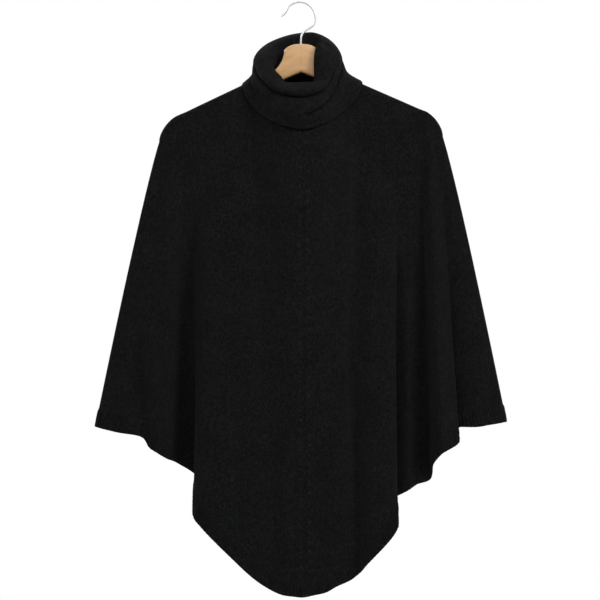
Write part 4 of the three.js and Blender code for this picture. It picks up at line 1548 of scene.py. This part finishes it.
@dataclass
class Hanger:
    """The flat wooden hanger and its wire hook.

    Attributes:
        crown_height: Height of the top of the wood's middle.
        neck_half_width: Half the width of that middle.
        neck_shoulder: Height at which its round top ends.
        neck_flat: Share of its half width that the round top starts level over.
        flare_end: Place across at which the middle's flank has become the arm.
        flare_narrow: Upper pull on that flank's curve.
        flare_wide: Lower pull on it.
        tip_x: End of the arm.
        tip_below: How far the top of its end lies below the arm's line.
        tip_length: Height of its end.
        underside: Points of the lower edge, from the end to the middle.
        notch_height: Height of the lower edge's middle.
        curve_steps: Points on each curve of the outline.
        edge_segments: Faces round an edge of the wood.
        wire_radius: Half the wire's thickness.
        hook_radius: Radius of the loop, to the wire's middle.
        round_from: Degrees at which the loop's round part begins.
        round_to: Degrees at which it ends.
        round_step: Degrees from one point of it to the next.
        hook_tip: The wire's points before the round part, across and up.
        hook_neck: Its points after it, down to the wood.
        socket_depth: How far it goes into the wood.
        wire_steps: Rings along the wire.
        wire_sides: Points round each ring.
        tip_rings: Rings from the middle of its rounded tip to its side.
        tip_flat: Share of the wire's thickness over which the tip is flat.
    """

    crown_height: float = -65.0
    neck_half_width: float = 26.0
    neck_shoulder: float = -74.0
    neck_flat: float = 0.75
    flare_end: float = 70.0
    flare_narrow: tuple[float, float] = (28.0, -92.0)
    flare_wide: tuple[float, float] = (36.0, -108.0)
    tip_x: float = 202.0
    tip_below: float = 4.0
    tip_length: float = 16.0
    underside: tuple[tuple[float, float], ...] = ((194, -203), (140, -178), (70, -143), (24, -119.5))
    notch_height: float = -110.0
    curve_steps: int = 14
    edge_segments: int = 5
    wire_radius: float = 1.45
    hook_radius: float = 24.5
    round_from: float = 135.0
    round_to: float = -30.0
    round_step: float = 16.5
    hook_tip: tuple[tuple[float, float], ...] = ((-29.7, -20.2), (-25.9, -16.7), (-22.9, -12.5))
    hook_neck: tuple[tuple[float, float], ...] = ((11, -41.2), (5.2, -45.5), (1.4, -51), (0, -58))
    socket_depth: float = 13.7
    wire_steps: int = 150
    wire_sides: int = 18
    tip_rings: int = 5
    tip_flat: float = 0.25

    def arm_top(self, x: float) -> float:
        """Finds the height of the arm's upper edge, under the cloth."""
        outside = float(SHOULDERS.height(np.array([x]))[0])
        return outside - (WALL + REST_GAP) * math.hypot(1, SHOULDERS.slope)

    def half_outline(self, hand: int) -> list[Vector]:
        """Draws one half of the wood's outline, from the middle of its crown to its notch.

        Args:
            hand: 1 for the right half, -1 for the left.

        Returns:
            Points across and up, in millimetres.
        """
        lean = math.tan(SHOULDERS.tilt)

        def tilted(x: float, z: float) -> Vector:
            """Moves a point of the right half to this half and tilts it."""
            return Vector((hand * x, z + hand * x * lean))

        crown = Vector((0, self.crown_height))
        neck = tilted(self.neck_half_width, self.neck_shoulder)
        level = Vector((hand * self.neck_half_width * self.neck_flat, self.crown_height))
        narrow, wide = tilted(*self.flare_narrow), tilted(*self.flare_wide)
        arm = Vector((hand * self.flare_end, self.arm_top(hand * self.flare_end)))
        shares = [step / self.curve_steps for step in range(self.curve_steps)]
        points = [crown * (1 - s) ** 2 + level * 2 * s * (1 - s) + neck * s**2 for s in shares]
        for s in shares:
            upper = neck * (1 - s) ** 3 + narrow * 3 * s * (1 - s) ** 2
            points.append(upper + wide * 3 * s**2 * (1 - s) + arm * s**3)
        tip = self.arm_top(hand * self.tip_x) - self.tip_below
        points.append(arm)
        points.append(Vector((hand * SHOULDERS.tip_start, self.arm_top(hand * SHOULDERS.tip_start))))
        points.append(Vector((hand * self.tip_x, tip)))
        points.append(Vector((hand * self.tip_x, tip - self.tip_length)))
        points.extend(tilted(x, z) for x, z in self.underside)
        points.append(Vector((0, self.notch_height)))
        return points

    def build_wood(self) -> bpy.types.Object:
        """Cuts the wood as a slab and rounds its edges.

        Returns:
            The new object.
        """
        outline = self.half_outline(1) + self.half_outline(-1)[1:-1][::-1]
        bm = bmesh.new()
        half = WOOD_THICKNESS / 2 * MM
        verts = [bm.verts.new((STEM_X + point.x * MM, -half, point.y * MM)) for point in outline]
        face = bm.faces.new(verts)
        slab = bmesh.ops.extrude_face_region(bm, geom=[face])
        moved = [part for part in slab["geom"] if isinstance(part, bmesh.types.BMVert)]
        bmesh.ops.translate(bm, verts=moved, vec=(0, 2 * half, 0))
        bmesh.ops.recalc_face_normals(bm, faces=bm.faces)
        rims = [edge for edge in bm.edges if abs(edge.verts[0].co.y - edge.verts[1].co.y) < half / 10]
        bmesh.ops.bevel(
            bm,
            geom=rims,
            offset=WOOD_EDGE * MM,
            affect="EDGES",
            segments=self.edge_segments,
            profile=0.5,
            material=-1,
        )
        return set_down("hanger_board", bm)

    def hook_route(self) -> np.ndarray:
        """Finds the middle of the wire.

        Returns:
            Points in millimetres, from the tip to the bottom of the socket.
        """
        centre = (-STEM_X / MM, self.wire_radius - self.hook_radius)
        degrees = np.arange(self.round_from, self.round_to - 1, -self.round_step)
        arc = [
            (centre[0] + self.hook_radius * math.cos(angle), centre[1] + self.hook_radius * math.sin(angle))
            for angle in np.radians(degrees)
        ]
        foot = (0.0, self.crown_height - self.socket_depth)
        knots = np.array([(x, 0, z) for x, z in [*self.hook_tip, *arc, *self.hook_neck, foot]], dtype=float)
        return curve(knots, np.linspace(0, 1, self.wire_steps))

    def wire_stations(self) -> list[Matrix]:
        """Places a ring's plane square to the wire at each of its steps.

        Returns:
            One placement for each ring.
        """
        route = (self.hook_route() + np.array([STEM_X / MM, 0, 0])) * MM
        level = Vector((0, 1, 0))
        stations = []
        for point, tangent in zip(route, np.gradient(route, axis=0)):
            along = Vector(tangent).normalized()
            turn = Matrix((level.cross(along), level, along)).transposed().to_4x4()
            stations.append(Matrix.Translation(point) @ turn)
        return stations

    def build_hook(self) -> bpy.types.Object:
        """Draws the wire along its route, with a rounded tip.

        Returns:
            The new object.
        """
        radius = self.wire_radius * MM
        stations = self.wire_stations()
        turns = [math.radians(90 * step / self.tip_rings) for step in range(1, self.tip_rings)]
        steps = []
        for turn in turns:
            steps.append((stations[0] @ Matrix.Translation((0, 0, -radius * math.cos(turn))), math.sin(turn)))
        steps += [(place, 1.0) for place in stations]
        bm = bmesh.new()
        flat = radius * self.tip_flat
        ring = bmesh.ops.create_circle(bm, segments=self.wire_sides, radius=flat, cap_ends=True)["verts"]
        previous, size = stations[0] @ Matrix.Translation((0, 0, -radius)), self.tip_flat
        bmesh.ops.transform(bm, matrix=previous, verts=ring)
        for place, wanted in steps:
            edges = [edge for edge in bm.edges if all(vert in ring for vert in edge.verts)]
            grown = bmesh.ops.extrude_edge_only(bm, edges=edges)
            ring = [part for part in grown["geom"] if isinstance(part, bmesh.types.BMVert)]
            scale = Matrix.Diagonal((wanted / size, wanted / size, 1, 1))
            bmesh.ops.transform(bm, matrix=place @ scale @ previous.inverted(), verts=ring)
            previous, size = place, wanted
        edges = [edge for edge in bm.edges if all(vert in ring for vert in edge.verts)]
        bmesh.ops.edgeloop_fill(bm, edges=edges)
        bmesh.ops.recalc_face_normals(bm, faces=bm.faces)
        return set_down("wire_hook", bm)

    def build(self) -> None:
        """Makes the hanger's pieces and dresses them."""
        finish_piece(self.build_wood(), WoodFinish().build(), "wood", "hanger_wood")
        finish_piece(self.build_hook(), WireFinish().build(), "wire", "hanger_hook")


@dataclass(frozen=True)
class SoftLight:
    """A square light that faces the middle of the poncho.

    Attributes:
        name: Its name.
        place: Where it hangs, in metres.
        size: Length of its side.
        power: Its strength in watts.
    """

    name: str
    place: tuple[float, float, float]
    size: float
    power: float


SOFT_LIGHTS = (
    SoftLight("key", (2.7, -2.2, 1.7), 1.3, 120),
    SoftLight("fill", (-2.6, -2.4, 1.8), 1.4, 62),
    SoftLight("front", (0.1, -1.15, 0.6), 1.0, 8.5),
    SoftLight("back_key", (-2.7, 2.2, 1.7), 1.3, 110),
    SoftLight("back_fill", (2.6, 2.4, 1.8), 1.4, 66),
    SoftLight("back_front", (0.3, 2.0, 1.7), 1.4, 26),
)


@dataclass
class Studio:
    """The camera at the photo's place, a pale floor and soft light.

    Attributes:
        target: What the camera looks straight at.
        distance: How far it stands in front.
        view_width: Width of the view at the hanger.
        sensor_width: Width of its sensor, in millimetres.
        floor_height: Height of the floor.
        floor_radius: How far it reaches, which is short of the camera's view.
        floor_sides: Sides of its outline.
        floor_white: How much light it sends back.
        floor_roughness: Its roughness.
        ambient: Strength of the light from all round.
    """

    target: tuple[float, float, float] = (0.0004, 0.0, -0.4693)
    distance: float = 3.6
    view_width: float = 0.948
    sensor_width: float = 36
    floor_height: float = -1.7
    floor_radius: float = 2.2
    floor_sides: int = 64
    floor_white: float = 0.95
    floor_roughness: float = 0.9
    ambient: float = 0.26

    def build(self) -> None:
        """Makes the camera, floor, lights and surroundings."""
        self.camera()
        self.floor()
        for light in SOFT_LIGHTS:
            self.hang(light)
        self.surroundings()
        bpy.context.scene.view_settings.view_transform = "Standard"

    def camera(self) -> None:
        """Sets the camera level in front of the poncho."""
        data = bpy.data.cameras.new("photo_camera")
        data.sensor_width = self.sensor_width
        data.lens = self.sensor_width * self.distance / self.view_width
        camera = bpy.data.objects.new("photo_camera", data)
        camera.location = Vector(self.target) - Vector((0, self.distance, 0))
        camera.rotation_euler = (math.pi / 2, 0, 0)
        bpy.context.scene.collection.objects.link(camera)
        bpy.context.scene.camera = camera

    def floor(self) -> None:
        """Lays a plain pale floor below the poncho."""
        bm = bmesh.new()
        bmesh.ops.create_circle(bm, segments=self.floor_sides, radius=self.floor_radius, cap_ends=True)
        bmesh.ops.translate(bm, verts=bm.verts, vec=(0, 0, self.floor_height))
        floor = set_down("floor", bm)
        graph = Graph("pale_floor")
        graph.surface.inputs["Base Color"].default_value = (*[self.floor_white] * 3, 1)
        graph.surface.inputs["Roughness"].default_value = self.floor_roughness
        floor.data.materials.append(graph.material)

    def hang(self, wanted: SoftLight) -> None:
        """Hangs a light and turns it to the middle of the poncho.

        Args:
            wanted: The light.
        """
        data = bpy.data.lights.new(wanted.name, "AREA")
        data.size = wanted.size
        data.energy = wanted.power
        light = bpy.data.objects.new(wanted.name, data)
        light.location = wanted.place
        towards = Vector(self.target) - Vector(wanted.place)
        light.rotation_euler = towards.to_track_quat("-Z", "Y").to_euler()
        bpy.context.scene.collection.objects.link(light)

    def surroundings(self) -> None:
        """Makes the world white where the camera sees it, and a weaker white as a light."""
        world = bpy.data.worlds.new("studio")
        bpy.context.scene.world = world
        world.use_nodes = True
        tree = world.node_tree
        white = tree.nodes["Background"]
        white.inputs["Color"].default_value = (1, 1, 1, 1)
        seen = tree.nodes.new("ShaderNodeLightPath").outputs["Is Camera Ray"]
        strength = tree.nodes.new("ShaderNodeMapRange")
        strength.inputs["To Min"].default_value = self.ambient
        tree.links.new(seen, strength.inputs["Value"])
        tree.links.new(strength.outputs[0], white.inputs["Strength"])


def main() -> None:
    """Builds the studio, the hanger and the poncho."""
    logging.basicConfig(level=logging.INFO, format="%(message)s")
    Studio().build()
    Hanger().build()
    Poncho().build()


if __name__ == "__main__":
    main()
